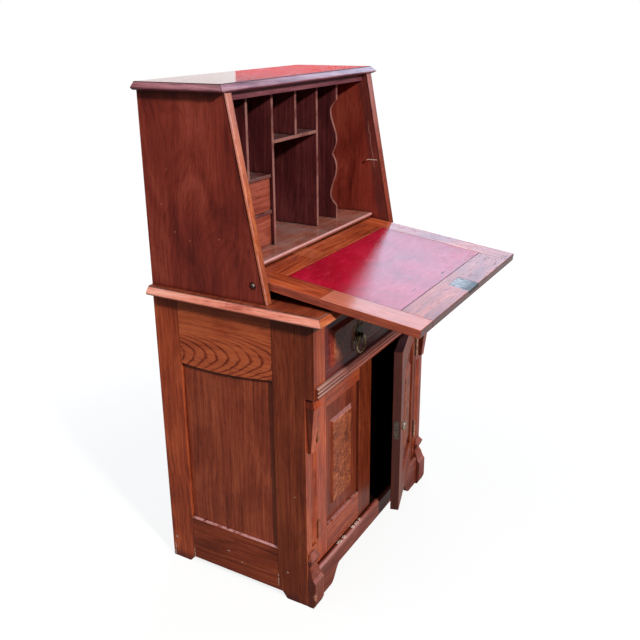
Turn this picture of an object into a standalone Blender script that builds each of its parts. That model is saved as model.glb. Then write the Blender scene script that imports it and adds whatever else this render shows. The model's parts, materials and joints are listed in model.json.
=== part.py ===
"""Drop-front desk: a cupboard base with one long drawer and two doors, and a sloping upper case
whose leather-lined fall turns on a screw at each side.

Metres, +Z up. The desk faces -Y, and +X is on the right of someone who stands in front of it.
The pieces are placed with Y = 0 on the back of the case, under one empty that shifts the whole desk
so that the world's origin is on the floor, under the middle of the desk's box with the fall open.
"""
import math

import bmesh
import bpy
from mathutils import Matrix

# Fits
GAP = 0.0003              # between two pieces that touch
RUNNING_GAP = 0.0015      # beside a piece that slides or swings
EASE = 0.0008             # the sanded arris of a board

# Base: a cupboard of framed sides, front posts and a moulded top
BASE_HALF_WIDTH = 0.3295
BASE_DEPTH = 0.383        # back of the case to the front edge of the side frames
BASE_HEIGHT = 0.749       # floor to the upper face of the base top
BASE_TOP_THICKNESS = 0.020
BASE_TOP_SIDE_OVERHANG = 0.024
BASE_TOP_FRONT_OVERHANG = 0.0315
BASE_TOP_BEVEL_WIDTH = 0.010
BASE_TOP_BEVEL_HEIGHT = 0.015
BASE_TOP_LIP = 0.003
BASE_TOP_QUIRK = 0.0018           # the small step above the bevel
BASE_BACK_THICKNESS = 0.010
BASE_FLOOR_THICKNESS = 0.012
BASE_FLOOR_DROP = 0.002   # floor board below the top of the plinth
DUST_BOARD_THICKNESS = 0.012

# Side frames and their panels
SIDE_THICKNESS = 0.022
BACK_STILE = 0.0695
FRONT_STILE = 0.057
SIDE_TOP_RAIL = 0.164
SIDE_TOP_RAIL_RISE = 0.011   # the rail's lower edge rises this much towards the front
SIDE_TOP_RAIL_SAG = 0.0075   # and bows down this much in the middle
SIDE_BOTTOM_RAIL_TOP = 0.1365
SIDE_PANEL_THICKNESS = 0.009
SIDE_PANEL_RECESS = 0.008
SIDE_FOOT_CUT = 0.017
SIDE_BACK_FOOT = 0.052
SIDE_FRONT_FOOT = 0.031
SIDE_FOOT_SWEEP = 0.018

# Front posts, with a head that stands forward beside the drawer
POST_WIDTH = 0.048
POST_DEPTH = 0.025
POST_HEAD_DEPTH = 0.0485
POST_FLUTE_WIDTH = 0.024
POST_FLUTE_DEPTH = 0.005
POST_FLUTE_FROM_DOOR = 0.0142    # flute's middle from the post's inner face
POST_FLUTE_STOP = 0.009          # plain wood between the flute and the corbel or foot block

# Corbels under the post heads
CORBEL_HEIGHT = 0.137
CORBEL_FROM_SIDE = 0.0175        # corbel's middle from the side's face
CORBEL_CAP_RISE = 0.022
CORBEL_CAP_EDGE = 0.003
CORBEL_CAP_WIDTH = 0.0335
CORBEL_NECK_WIDTH = 0.030
CORBEL_TIP_WIDTH = 0.016
CORBEL_TIP_DEPTH = 0.008
CORBEL_WEATHERING = 0.008        # how far the cap's sloping top draws in

# Faceted blocks on the feet of the posts
FOOT_BLOCK_WIDTH = 0.040  # from the side's outer face
FOOT_BLOCK_FACETS = (     # depth in front of the post, inset from each side, height, from the top down
    (0.0015, 0.0095, 0.1450),
    (0.0120, 0.0000, 0.1300),
    (0.0085, 0.0020, 0.1200),
    (0.0030, 0.0055, 0.1080),
    (0.0090, 0.0025, 0.0960),
    (0.0145, 0.0000, 0.0790),
    (0.0205, 0.0000, 0.0710),
    (0.0205, 0.0000, 0.0140),
    (0.0150, 0.0000, 0.0000),
)

# Plinth with bracket feet
PLINTH_HEIGHT = 0.0896
PLINTH_FRONT = 0.0115        # in front of the posts it is planted on
PLINTH_BEVEL = 0.0055
APRON_UNDERSIDE = 0.044
BRACKET_FOOT = 0.054
BRACKET_SWEEP = 0.043
BRACKET_CLEARANCE = 0.004    # the brackets stop just short of the floor

# Rail under the drawer, with its reeded moulding
DOOR_OPENING = 0.4609        # plinth top to the underside of the rail
DRAWER_RAIL_HEIGHT = 0.0275
DRAWER_RAIL_DEPTH = 0.036
REED_COUNT = 3
REED_FILLET = 0.003
MOULDING_RETURN = 0.006      # the moulding stops this far inside the side's face

# Long drawer
DRAWER_FRONT_THICKNESS = 0.021
DRAWER_FRONT_RECESS = 0.001
DRAWER_PANEL_MARGIN = 0.022
DRAWER_PANEL_TOP_MARGIN = 0.034
DRAWER_PANEL_BEVEL = 0.010
DRAWER_PANEL_RISE = 0.008
DRAWER_LENGTH = 0.350
DRAWER_WALL = 0.010
DRAWER_BOTTOM = 0.006
DRAWER_BOX_DROP = 0.016      # the box's sides stop this far below the front's top edge

# Ring pulls
PULL_SPACING = 0.272
PULL_BELOW_MIDDLE = 0.008
PULL_EYE_DROP = 0.006        # eye below the plate's middle
PULL_PLATE_HALF_WIDTH = 0.0165
PULL_PLATE_HALF_HEIGHT = 0.021
PULL_PLATE_THICKNESS = 0.002
PULL_PLATE_LOBES = 4
PULL_EYE_RADIUS = 0.0052
PULL_EYE_WIDTH = 0.008
PULL_EYE_SINK = 0.0006
PULL_RING_RADIUS = 0.0205
PULL_WIRE_RADIUS = 0.0022
PULL_EYE_PLAY = 0.0007

# Doors
DOOR_THICKNESS = 0.022
DOOR_RECESS = 0.001
DOOR_CLEARANCE = 0.003
DOOR_HINGE_STILE = 0.045
DOOR_MEETING_STILE = 0.065
DOOR_TOP_RAIL = 0.0595
DOOR_BOTTOM_RAIL = 0.0755
DOOR_MEETING_GAP = 0.003
DOOR_PANEL_THICKNESS = 0.008
DOOR_PANEL_RECESS = 0.008
DOOR_FIELD_SIDE_MARGIN = 0.032
DOOR_FIELD_TOP_MARGIN = 0.050
DOOR_FIELD_BOTTOM_MARGIN = 0.040
DOOR_FIELD_BEVEL = 0.008
DOOR_FIELD_RISE = 0.006
DOOR_AJAR = math.radians(16.4)
HINGE_BARREL_RADIUS = 0.0035
HINGE_LENGTH = 0.050
HINGE_LEAF_THICKNESS = 0.0012
HINGE_LEAF_DEPTH = 0.018
HINGE_FROM_END = 0.098       # hinge's middle from the door's top and bottom edges
DOOR_LOCK_HEIGHT = 0.050
DOOR_LOCK_WIDTH = 0.014
DOOR_LOCK_DEPTH = 0.028
DOOR_LOCK_ABOVE_MIDDLE = 0.010

# Upper case
CASE_SIDE_INSET = 0.0015          # the case's side from the base's side
CASE_SIDE_THICKNESS = 0.022
CASE_HEIGHT = 0.4351
CASE_DEPTH_BOTTOM = 0.3125
CASE_DEPTH_TOP = 0.230
CASE_BACK_THICKNESS = 0.010
LIPPING_DEPTH = 0.006
TOP_THICKNESS = 0.0178
TOP_SIDE_OVERHANG = 0.0184
TOP_FRONT_OVERHANG = 0.0095
TOP_BEVEL_WIDTH = 0.012
TOP_BEVEL_HEIGHT = 0.0115
TOP_LIP_WIDTH = 0.007
TOP_LIP_HEIGHT = 0.004
TOP_RAIL_HEIGHT = 0.018

# Fall, carried on a pivot screw at each side
FALL_SLOPE = math.radians(7.06)   # below level when open
FALL_THICKNESS = 0.0185
FALL_STILE = 0.062
FALL_FRONT_RAIL = 0.0716
FALL_BACK_RAIL = 0.070
FALL_TOP_CLEARANCE = 0.0035       # under the top rail when shut
FALL_PANEL_SINK = 0.002
LEATHER_THICKNESS = 0.002
PIVOT_RISE = 0.0379               # above the base top
PIVOT_SETBACK = 0.0247            # behind the sloping front edge of the sides
TONGUE_CLEARANCE = 0.0015         # over the base top as the tongue swings down
PIVOT_PIN_RADIUS = 0.0031
PIVOT_PIN_ENTRY = 0.022           # length of pin inside the fall
PIVOT_HEAD_RADIUS = 0.0055
PIVOT_HEAD_HEIGHT = 0.0034
PIVOT_RECESS_RADIUS = 0.0095
PIVOT_RECESS_DEPTH = 0.003
FALL_LOCK_WIDTH = 0.064
FALL_LOCK_LENGTH = 0.050
FALL_LOCK_DEPTH = 0.009
STOP_PIN_RADIUS = 0.003
STOP_PIN_LENGTH = 0.008
STOP_PIN_RISE = 0.208             # above the base top

# Fittings inside the upper case
FLOOR_THICKNESS = 0.012
FLOOR_LAP = 0.006                 # the nosing laps over the fall's tongue
DIVIDER_SETBACK = 0.003           # behind the shut fall
DIVIDER_THICKNESS = 0.008
SHELF_THICKNESS = 0.008
CENTRE_SHELF_RISE = 0.240         # above the interior floor
SMALL_DRAWER_OPENING = 0.0772
DRAWER_SHELF_SETBACK = 0.005
SMALL_FRONT_SETBACK = 0.009
SMALL_FRONT_THICKNESS = 0.012
SMALL_WALL = 0.006
SMALL_BOTTOM = 0.004
SMALL_BOX_DROP = 0.008
KNOB_RADIUS = 0.007
KNOB_NECK_RADIUS = 0.0035
KNOB_LENGTH = 0.012
SCALLOP_MIDDLE = 0.174            # the cusp's height above the interior floor
SCALLOP_CUSP_DEPTH = 0.012
SCALLOP_CREST = 0.037             # crest, hollow and end lie this far above and below the cusp
SCALLOP_HOLLOW = 0.110
SCALLOP_HOLLOW_DEPTH = 0.018
SCALLOP_END = 0.139
SCALLOP_STEPS = 5

# Finishes: colour, roughness, metallic
FINISHES = {
    "dark_wood": ((0.155, 0.033, 0.022), 0.35, 0.0),
    "warm_wood": ((0.250, 0.075, 0.032), 0.38, 0.0),
    "inner_wood": ((0.105, 0.030, 0.018), 0.50, 0.0),
    "burr": ((0.330, 0.115, 0.045), 0.35, 0.0),
    "leather": ((0.330, 0.010, 0.028), 0.45, 0.0),
    "brass": ((0.400, 0.300, 0.130), 0.40, 1.0),
    "steel": ((0.330, 0.330, 0.320), 0.45, 1.0),
}

# Worked out from the sizes above
frame_front = -BASE_DEPTH
post_face = frame_front - POST_DEPTH
head_face = frame_front - POST_HEAD_DEPTH
post_inner = BASE_HALF_WIDTH - POST_WIDTH
base_inner = BASE_HALF_WIDTH - SIDE_THICKNESS
under_base_top = BASE_HEIGHT - BASE_TOP_THICKNESS
rail_bottom = PLINTH_HEIGHT + DOOR_OPENING
rail_top = rail_bottom + DRAWER_RAIL_HEIGHT

seat = BASE_HEIGHT + GAP
case_top = seat + CASE_HEIGHT
case_half_width = BASE_HALF_WIDTH - CASE_SIDE_INSET
case_inner = case_half_width - CASE_SIDE_THICKNESS
lean = math.atan2(CASE_DEPTH_BOTTOM - CASE_DEPTH_TOP, CASE_HEIGHT)
top_rail_underside = case_top - TOP_RAIL_HEIGHT

pivot_z = BASE_HEIGHT + PIVOT_RISE
pivot_y = PIVOT_SETBACK - CASE_DEPTH_BOTTOM + (pivot_z - seat) * math.tan(lean)
half_fall = FALL_THICKNESS / 2
fall_half_width = case_inner - RUNNING_GAP
fall_corner_rise = half_fall * math.sin(lean)
fall_reach = (top_rail_underside - FALL_TOP_CLEARANCE - pivot_z - fall_corner_rise) / math.cos(lean)
tongue = math.sqrt((PIVOT_RISE - TONGUE_CLEARANCE) ** 2 - half_fall ** 2)
tongue_y = pivot_y + tongue * math.cos(FALL_SLOPE) - half_fall * math.sin(FALL_SLOPE)
tongue_z = pivot_z + tongue * math.sin(FALL_SLOPE) + half_fall * math.cos(FALL_SLOPE)
desk_front = pivot_y - fall_reach * math.cos(FALL_SLOPE) - half_fall * math.sin(FALL_SLOPE)

floor_underside = tongue_z + GAP
floor_top = floor_underside + FLOOR_THICKNESS
floor_front = tongue_y - FLOOR_LAP
inside_back = -CASE_BACK_THICKNESS - GAP
bay = 2 * case_inner / 3                 # three equal bays, two of them halved
parting_bottom = floor_top + SMALL_DRAWER_OPENING
parting_top = parting_bottom + SHELF_THICKNESS
drawer_shelf_bottom = parting_top + SMALL_DRAWER_OPENING

drawer_face = head_face + DRAWER_FRONT_RECESS
drawer_half_width = post_inner - RUNNING_GAP
drawer_bottom = rail_top + GAP
drawer_top = under_base_top - RUNNING_GAP

hinge_gap = HINGE_LEAF_THICKNESS + 2 * GAP
hinge_x = post_inner - hinge_gap / 2
hinge_y = post_face - HINGE_BARREL_RADIUS
door_bottom = PLINTH_HEIGHT + DOOR_CLEARANCE
door_top = rail_bottom - DOOR_CLEARANCE
door_face = post_face + DOOR_RECESS
SIDES = {"left": -1, "right": 1}


def shut_fall_y(z, offset):
    """Y of the plane that lies offset behind the middle of the shut fall, at height z."""
    return pivot_y + (z - pivot_z) * math.tan(lean) + offset / math.cos(lean)


divider_front = shut_fall_y(top_rail_underside, half_fall) + DIVIDER_SETBACK


def start_scene():
    """Empties the scene and makes the two collections."""
    for old in list(bpy.data.objects):
        bpy.data.objects.remove(old, do_unlink=True)
    made = {}
    for title in ("drop_front_desk", "cutters"):
        made[title] = bpy.data.collections.new(title)
        bpy.context.scene.collection.children.link(made[title])
    return made["drop_front_desk"], made["cutters"]


parts, cutters = start_scene()


def empty(name, location, parent=None, rotation=(0, 0, 0)):
    """An axis or reference point that pieces hang on."""
    item = bpy.data.objects.new(name, None)
    item.location = location
    item.rotation_euler = rotation
    item.parent = parent
    item.empty_display_size = 0.05
    parts.objects.link(item)
    return item


desk = empty("desk_origin", (0, -desk_front / 2, 0))


def finish(name, kind):
    """The piece's own material."""
    colour, roughness, metallic = FINISHES[kind]
    material = bpy.data.materials.new(name)
    material.use_nodes = True
    shader = material.node_tree.nodes["Principled BSDF"]
    shader.inputs["Base Color"].default_value = (*colour, 1)
    shader.inputs["Roughness"].default_value = roughness
    shader.inputs["Metallic"].default_value = metallic
    return material


def place(name, mesh, kind, location=(0, 0, 0), parent=None):
    """Puts a mesh in the desk as a named piece with its finish."""
    piece = bpy.data.objects.new(name, mesh)
    piece.location = location
    piece.parent = parent or desk
    mesh.materials.clear()
    mesh.materials.append(finish(name, kind))
    parts.objects.link(piece)
    return piece


def ease(piece):
    """Breaks a board's outer corners, and leaves the inner ones sharp."""
    bm = bmesh.new()
    bm.from_mesh(piece.data)
    weight = bm.edges.layers.float.new("bevel_weight_edge")
    for edge in bm.edges:
        edge[weight] = float(edge.calc_face_angle_signed() > math.radians(40))
    bm.to_mesh(piece.data)
    bm.free()
    bevel = piece.modifiers.new("eased edges", "BEVEL")
    bevel.width = EASE
    bevel.segments = 1
    bevel.limit_method = "WEIGHT"
    return piece


def combine(piece, other, operation):
    """Cuts, joins or intersects a piece with a hidden helper that hangs on the same parent."""
    parts.objects.unlink(other)
    cutters.objects.link(other)
    other.name = piece.name + "_" + operation.lower()
    other.hide_render = True
    other.display_type = "WIRE"
    step = piece.modifiers.new(operation.lower(), "BOOLEAN")
    step.operation = operation
    step.object = other
    return piece


def box_mesh(name, low, high):
    """A box about its own middle, and that middle."""
    size = [h - l for l, h in zip(low, high)]
    middle = [(h + l) / 2 for l, h in zip(low, high)]
    bm = bmesh.new()
    bmesh.ops.create_cube(bm, size=1, matrix=Matrix.Diagonal((*size, 1)))
    mesh = bpy.data.meshes.new(name)
    bm.to_mesh(mesh)
    bm.free()
    return mesh, middle


def board(name, kind, x, y, z, parent=None):
    """A straight board between pairs of x, y and z."""
    spans = [sorted(span) for span in (x, y, z)]
    mesh, middle = box_mesh(name, [s[0] for s in spans], [s[1] for s in spans])
    return ease(place(name, mesh, kind, middle, parent))


def outline_mesh(name, outlines, low, high, across):
    """A flat outline, with later outlines as its holes, made solid from low to high on the axis across.

    An outline's points are (y, z) across x, (x, z) across y and (x, y) across z.
    """
    turns = {
        "x": Matrix(((0, 0, 1), (1, 0, 0), (0, 1, 0))).to_4x4(),
        "y": Matrix(((1, 0, 0), (0, 0, -1), (0, 1, 0))).to_4x4(),
        "z": Matrix.Identity(4),
    }
    curve = bpy.data.curves.new(name + "_outline", "CURVE")
    curve.dimensions = "2D"
    curve.fill_mode = "BOTH"
    curve.extrude = (high - low) / 2
    for points in outlines:
        spline = curve.splines.new("POLY")
        spline.points.add(len(points) - 1)
        for target, (u, v) in zip(spline.points, points):
            target.co = (u, v, 0, 1)
        spline.use_cyclic_u = True
    holder = bpy.data.objects.new(name + "_outline", curve)
    parts.objects.link(holder)
    graph = bpy.context.evaluated_depsgraph_get()
    mesh = bpy.data.meshes.new_from_object(holder.evaluated_get(graph))
    bpy.data.objects.remove(holder, do_unlink=True)
    bm = bmesh.new()
    bm.from_mesh(mesh)
    bmesh.ops.remove_doubles(bm, verts=bm.verts, dist=0.00001)
    bmesh.ops.transform(bm, matrix=turns[across], verts=bm.verts)
    shift = {"x": (1, 0, 0), "y": (0, 1, 0), "z": (0, 0, 1)}[across]
    middle = (low + high) / 2
    bmesh.ops.translate(bm, verts=bm.verts, vec=[s * middle for s in shift])
    bmesh.ops.recalc_face_normals(bm, faces=bm.faces)
    bm.to_mesh(mesh)
    bm.free()
    return mesh


def shaped(name, kind, outlines, low, high, across, parent=None):
    """A board cut to an outline."""
    return place(name, outline_mesh(name, outlines, low, high, across), kind, parent=parent)


def lofted(name, kind, rings, parent=None):
    """A solid whose like rings of points are joined in turn and capped at both ends."""
    bm = bmesh.new()
    loops = [[bm.verts.new(point) for point in ring] for ring in rings]
    count = len(rings[0])
    for lower, upper in zip(loops, loops[1:]):
        for i in range(count):
            j = (i + 1) % count
            bm.faces.new((lower[i], lower[j], upper[j], upper[i]))
    bm.faces.new(loops[0])
    bm.faces.new(loops[-1])
    bmesh.ops.recalc_face_normals(bm, faces=bm.faces)
    mesh = bpy.data.meshes.new(name)
    bm.to_mesh(mesh)
    bm.free()
    return place(name, mesh, kind, parent=parent)


def moulded_top(name, kind, half_width, front, levels):
    """A board with a moulding run along its front and ends: levels are (inset, height)."""
    rings = []
    for inset, z in levels:
        x = half_width - inset
        y = front + inset
        rings.append([(-x, 0, z), (-x, y, z), (x, y, z), (x, 0, z)])
    return lofted(name, kind, rings)


def fielded(name, kind, levels, parent=None):
    """A panel with a raised field: levels are (x low, x high, z low, z high, y) from back to front."""
    rings = []
    for x0, x1, z0, z1, y in levels:
        rings.append([(x0, y, z0), (x1, y, z0), (x1, y, z1), (x0, y, z1)])
    return lofted(name, kind, rings, parent)


def faceted(name, kind, levels):
    """A block planted on a flat back: levels are (x middle, half width, back y, front from back, z)."""
    rings = []
    for middle, half, back, depth, z in levels:
        front = back + depth
        low, high = middle - half, middle + half
        rings.append([(low, back, z), (low, front, z), (high, front, z), (high, back, z)])
    return lofted(name, kind, rings)


def cylinder(name, kind, radius, start, end, at, across, sides=24, parent=None):
    """A round bar along x or z from start to end, at the other two coordinates."""
    bm = bmesh.new()
    size = {"radius1": radius, "radius2": radius, "depth": end - start}
    bmesh.ops.create_cone(bm, cap_ends=True, segments=sides, **size)
    if across == "x":
        bmesh.ops.rotate(bm, verts=bm.verts, matrix=Matrix.Rotation(math.pi / 2, 3, "Y"))
        middle = ((start + end) / 2, at[0], at[1])
    else:
        middle = (at[0], at[1], (start + end) / 2)
    mesh = bpy.data.meshes.new(name)
    bm.to_mesh(mesh)
    bm.free()
    mesh.shade_smooth()
    mesh.set_sharp_from_angle(angle=math.radians(40))
    return place(name, mesh, kind, middle, parent)


def turned(name, kind, profile, location, rotation, parent=None, sides=24):
    """A turned piece: profile points are (radius, height), from the top down the outer side."""
    mesh = bpy.data.meshes.new(name)
    edges = [(i, i + 1) for i in range(len(profile) - 1)]
    mesh.from_pydata([(radius, 0, height) for radius, height in profile], edges, [])
    piece = place(name, mesh, kind, location, parent)
    piece.rotation_euler = rotation
    screw = piece.modifiers.new("turned", "SCREW")
    screw.axis = "Z"
    screw.steps = sides
    screw.render_steps = sides
    screw.use_merge_vertices = True
    screw.merge_threshold = 0.0001
    return piece


def arc(centre, radius, start, end, steps):
    """Points on an arc in a plane, angles in degrees."""
    points = []
    for i in range(steps + 1):
        angle = math.radians(start + (end - start) * i / steps)
        points.append((centre[0] + radius * math.cos(angle), centre[1] + radius * math.sin(angle)))
    return points


def sweep(start, end, steps=6):
    """Points of an S-shaped sweep from one point to another, level at both ends."""
    points = []
    for i in range(steps + 1):
        t = i / steps
        ease_in = (1 - math.cos(math.pi * t)) / 2
        points.append((start[0] + (end[0] - start[0]) * t, start[1] + (end[1] - start[1]) * ease_in))
    return points


def inset_points(points, middle, amount):
    """Points moved towards a middle by the same amount on both axes."""
    moved = []
    for point in points:
        moved.append([p - math.copysign(amount, p - m) for p, m in zip(point, middle)])
    return moved


def side_panel_outline():
    """The opening of a side frame: straight, but for the bowed lower edge of the top rail."""
    back, front = -BACK_STILE, frame_front + FRONT_STILE
    upper = under_base_top - SIDE_TOP_RAIL
    steps = 10
    points = [(front, SIDE_BOTTOM_RAIL_TOP), (back, SIDE_BOTTOM_RAIL_TOP)]
    for i in range(steps + 1):
        t = i / steps
        bow = SIDE_TOP_RAIL_SAG * 4 * t * (1 - t)
        points.append((back + (front - back) * t, upper + SIDE_TOP_RAIL_RISE * t - bow))
    return points


def build_side(side, sign):
    """A side frame with feet, and its panel."""
    back_foot, front_foot = -SIDE_BACK_FOOT, frame_front + SIDE_FRONT_FOOT
    outline = [(0, under_base_top - GAP), (0, 0)]
    outline += sweep((back_foot, 0), (back_foot - SIDE_FOOT_SWEEP, SIDE_FOOT_CUT))
    outline += sweep((front_foot + SIDE_FOOT_SWEEP, SIDE_FOOT_CUT), (front_foot, 0))
    outline += [(frame_front, 0), (frame_front, under_base_top - GAP)]
    opening = side_panel_outline()
    outer, inner = sign * BASE_HALF_WIDTH, sign * base_inner
    frame = [outline, opening]
    ease(shaped(f"side_frame_{side}", "warm_wood", frame, *sorted((outer, inner)), "x"))
    face = sign * (BASE_HALF_WIDTH - SIDE_PANEL_RECESS)
    back = face - sign * SIDE_PANEL_THICKNESS
    middle = ((frame_front + FRONT_STILE - BACK_STILE) / 2, (SIDE_BOTTOM_RAIL_TOP + under_base_top) / 2)
    panel = inset_points(opening, middle, GAP)
    shaped(f"side_panel_{side}", "dark_wood", [panel], *sorted((face, back)), "x")


def build_post(side, sign):
    """A front post, with the head that stands forward beside the drawer."""
    upper = under_base_top - GAP
    back = frame_front - GAP
    profile = [(back, 0), (post_face, 0), (post_face, rail_bottom), (head_face, rail_bottom)]
    profile += [(head_face, upper), (back, upper)]
    x = sorted((sign * BASE_HALF_WIDTH, sign * post_inner))
    piece = ease(shaped(f"post_{side}", "warm_wood", [profile], *x, "x"))
    half = POST_FLUTE_WIDTH / 2
    radius = (half ** 2 + POST_FLUTE_DEPTH ** 2) / (2 * POST_FLUTE_DEPTH)
    where = (sign * (post_inner + POST_FLUTE_FROM_DOOR), post_face + POST_FLUTE_DEPTH - radius)
    low = FOOT_BLOCK_FACETS[0][2] + POST_FLUTE_STOP
    high = rail_bottom - GAP - CORBEL_HEIGHT - POST_FLUTE_STOP
    combine(piece, cylinder("flute", "warm_wood", radius, low, high, where, "z", 32), "DIFFERENCE")


def build_corbel(side, sign):
    """A tapered corbel with a weathered cap, under a post's head."""
    middle = sign * (BASE_HALF_WIDTH - CORBEL_FROM_SIDE)
    top = rail_bottom - GAP
    cap = top - CORBEL_CAP_RISE
    neck = cap - CORBEL_CAP_EDGE
    tip = top - CORBEL_HEIGHT
    back = post_face - GAP
    reach = head_face - back
    levels = (
        (CORBEL_NECK_WIDTH - CORBEL_WEATHERING, reach + CORBEL_WEATHERING, top),
        (CORBEL_CAP_WIDTH, reach, cap),
        (CORBEL_NECK_WIDTH, reach + CORBEL_CAP_EDGE, neck),
        (CORBEL_TIP_WIDTH, -CORBEL_TIP_DEPTH, tip),
    )
    placed = [(middle, width / 2, back, depth, z) for width, depth, z in levels]
    faceted(f"corbel_{side}", "dark_wood", placed)


def build_foot_block(side, sign):
    """A faceted block on the foot of a post: weathered cap, waist, splayed body and stepped base."""
    half = FOOT_BLOCK_WIDTH / 2
    middle = sign * (BASE_HALF_WIDTH - half)
    back = post_face - GAP
    levels = []
    for depth, inset, z in FOOT_BLOCK_FACETS:
        levels.append((middle, half - inset, back, -depth, z))
    faceted(f"foot_block_{side}", "dark_wood", levels)


def build_plinth():
    """The front plinth: a bevelled apron on bracket feet, planted on the posts between the foot blocks."""
    half = BASE_HALF_WIDTH - FOOT_BLOCK_WIDTH - GAP
    foot = half - BRACKET_FOOT
    arch = foot - BRACKET_SWEEP
    right = [(half, PLINTH_HEIGHT), (half, BRACKET_CLEARANCE)]
    right += sweep((foot, BRACKET_CLEARANCE), (arch, APRON_UNDERSIDE), 8)
    outline = right + [(-x, z) for x, z in reversed(right)]
    front = post_face - PLINTH_FRONT
    back = post_face - GAP
    margin = PLINTH_BEVEL
    piece = shaped("plinth", "warm_wood", [outline], front - margin, back + margin, "y")
    bevel_z = PLINTH_HEIGHT - PLINTH_BEVEL
    above = PLINTH_HEIGHT + margin
    profile = [(back, -margin), (back, above), (front + PLINTH_BEVEL + margin, above)]
    profile += [(front, bevel_z), (front, -margin)]
    helper = shaped("profile", "warm_wood", [profile], -half - margin, half + margin, "x")
    combine(piece, helper, "INTERSECT")


def build_drawer_rail():
    """The rail under the drawer, with the reeded moulding planted on its face and over the posts."""
    pitch = DRAWER_RAIL_HEIGHT / REED_COUNT
    seat_y = head_face - GAP
    fillet = seat_y - REED_FILLET
    profile = [(seat_y, rail_top), (seat_y, rail_bottom)]
    for i in range(REED_COUNT):
        profile += arc((fillet, rail_bottom + pitch * (i + 0.5)), pitch / 2, 270, 90, 6)
    half = BASE_HALF_WIDTH - MOULDING_RETURN
    piece = shaped("drawer_rail", "dark_wood", [profile], -half, half, "x")
    overlap = REED_FILLET / 2
    inner = post_inner - GAP
    x, y, z = (-inner, inner), (seat_y - overlap, head_face + DRAWER_RAIL_DEPTH), (rail_bottom, rail_top)
    mesh, middle = box_mesh("rail", (x[0], y[0], z[0] + GAP), (x[1], y[1], z[1] - GAP))
    combine(piece, place("rail", mesh, "dark_wood", middle), "UNION")


def notched_board(name, front, low, high):
    """A board across the base, notched round both posts."""
    back = -BASE_BACK_THICKNESS - GAP
    inner = base_inner - GAP
    narrow = post_inner - GAP
    shoulder = frame_front + GAP
    right = [(inner, back), (inner, shoulder), (narrow, shoulder), (narrow, front)]
    outline = right + [(-x, y) for x, y in reversed(right)]
    ease(shaped(name, "inner_wood", [outline], low, high, "z"))


def build_base():
    """The base's sides, front and boards."""
    for side, sign in SIDES.items():
        build_side(side, sign)
        build_post(side, sign)
        build_corbel(side, sign)
        build_foot_block(side, sign)
    build_plinth()
    build_drawer_rail()
    inner = base_inner - GAP
    between = (-inner, inner)
    upper = under_base_top - GAP
    back_face = -BASE_BACK_THICKNESS
    board("base_back", "inner_wood", between, (back_face, 0), (SIDE_FOOT_CUT, upper))
    floor_upper = PLINTH_HEIGHT - BASE_FLOOR_DROP
    notched_board("base_floor", post_face, floor_upper - BASE_FLOOR_THICKNESS, floor_upper)
    dust_front = head_face + DRAWER_RAIL_DEPTH + GAP
    notched_board("dust_board", dust_front, rail_top - DUST_BOARD_THICKNESS, rail_top)
    bevel_z = BASE_HEIGHT - BASE_TOP_BEVEL_HEIGHT
    levels = (
        (BASE_TOP_LIP, under_base_top),
        (0, under_base_top + BASE_TOP_LIP),
        (0, bevel_z),
        (BASE_TOP_BEVEL_WIDTH, BASE_HEIGHT - BASE_TOP_QUIRK),
        (BASE_TOP_BEVEL_WIDTH + BASE_TOP_QUIRK, BASE_HEIGHT - BASE_TOP_QUIRK),
        (BASE_TOP_BEVEL_WIDTH + BASE_TOP_QUIRK, BASE_HEIGHT),
    )
    half_width = BASE_HALF_WIDTH + BASE_TOP_SIDE_OVERHANG
    moulded_top("base_top", "warm_wood", half_width, head_face - BASE_TOP_FRONT_OVERHANG, levels)


def tray(name, kind, x, y, z, wall, bottom, parent):
    """A drawer's box, with no front wall and open at the top."""
    mesh, middle = box_mesh(name, (x[0], y[0], z[0]), (x[1], y[1], z[1]))
    piece = place(name, mesh, kind, middle, parent)
    low = (x[0] + wall, y[0] - wall, z[0] + bottom)
    high = (x[1] - wall, y[1] - wall, z[1] + wall)
    hollow_mesh, hollow_middle = box_mesh("hollow", low, high)
    return combine(piece, place("hollow", hollow_mesh, kind, hollow_middle, parent), "DIFFERENCE")


def build_pull(side, sign, slide, face, middle_z):
    """A lobed backplate with an eye, and the ring that swings in it."""
    x = sign * PULL_SPACING / 2
    turns = 32
    outline = []
    for i in range(turns):
        angle = 2 * math.pi * i / turns
        lobe = 1 + 0.1 * math.cos(2 * PULL_PLATE_LOBES * angle)
        wide = PULL_PLATE_HALF_WIDTH * lobe / 1.1
        tall = PULL_PLATE_HALF_HEIGHT * lobe / 1.1
        outline.append((x + wide * math.cos(angle), middle_z + tall * math.sin(angle)))
    plate_face = face - GAP - PULL_PLATE_THICKNESS
    plate = shaped(f"pull_plate_{side}", "brass", [outline], plate_face, face - GAP, "y", slide)
    eye_y = plate_face - PULL_EYE_RADIUS + PULL_EYE_SINK
    eye_z = middle_z - PULL_EYE_DROP
    half_eye = PULL_EYE_WIDTH / 2
    hole = PULL_WIRE_RADIUS + PULL_EYE_PLAY
    where = (eye_y, eye_z)
    eye = cylinder("eye", "brass", PULL_EYE_RADIUS, x - half_eye, x + half_eye, where, "x", 20, slide)
    combine(plate, eye, "UNION")
    bore = cylinder("bore", "brass", hole, x - PULL_EYE_WIDTH, x + PULL_EYE_WIDTH, where, "x", 20, slide)
    combine(plate, bore, "DIFFERENCE")
    swing = empty(f"pull_axis_{side}", (x, eye_y, eye_z), slide)
    bpy.ops.mesh.primitive_torus_add(
        major_radius=PULL_RING_RADIUS,
        minor_radius=PULL_WIRE_RADIUS,
        major_segments=36,
        minor_segments=8,
    )
    torus = bpy.context.object
    mesh = torus.data
    mesh.transform(Matrix.Rotation(math.pi / 2, 4, "X"))
    mesh.shade_smooth()
    bpy.data.objects.remove(torus, do_unlink=True)
    place(f"pull_ring_{side}", mesh, "brass", (0, 0, -PULL_RING_RADIUS), swing)


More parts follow.
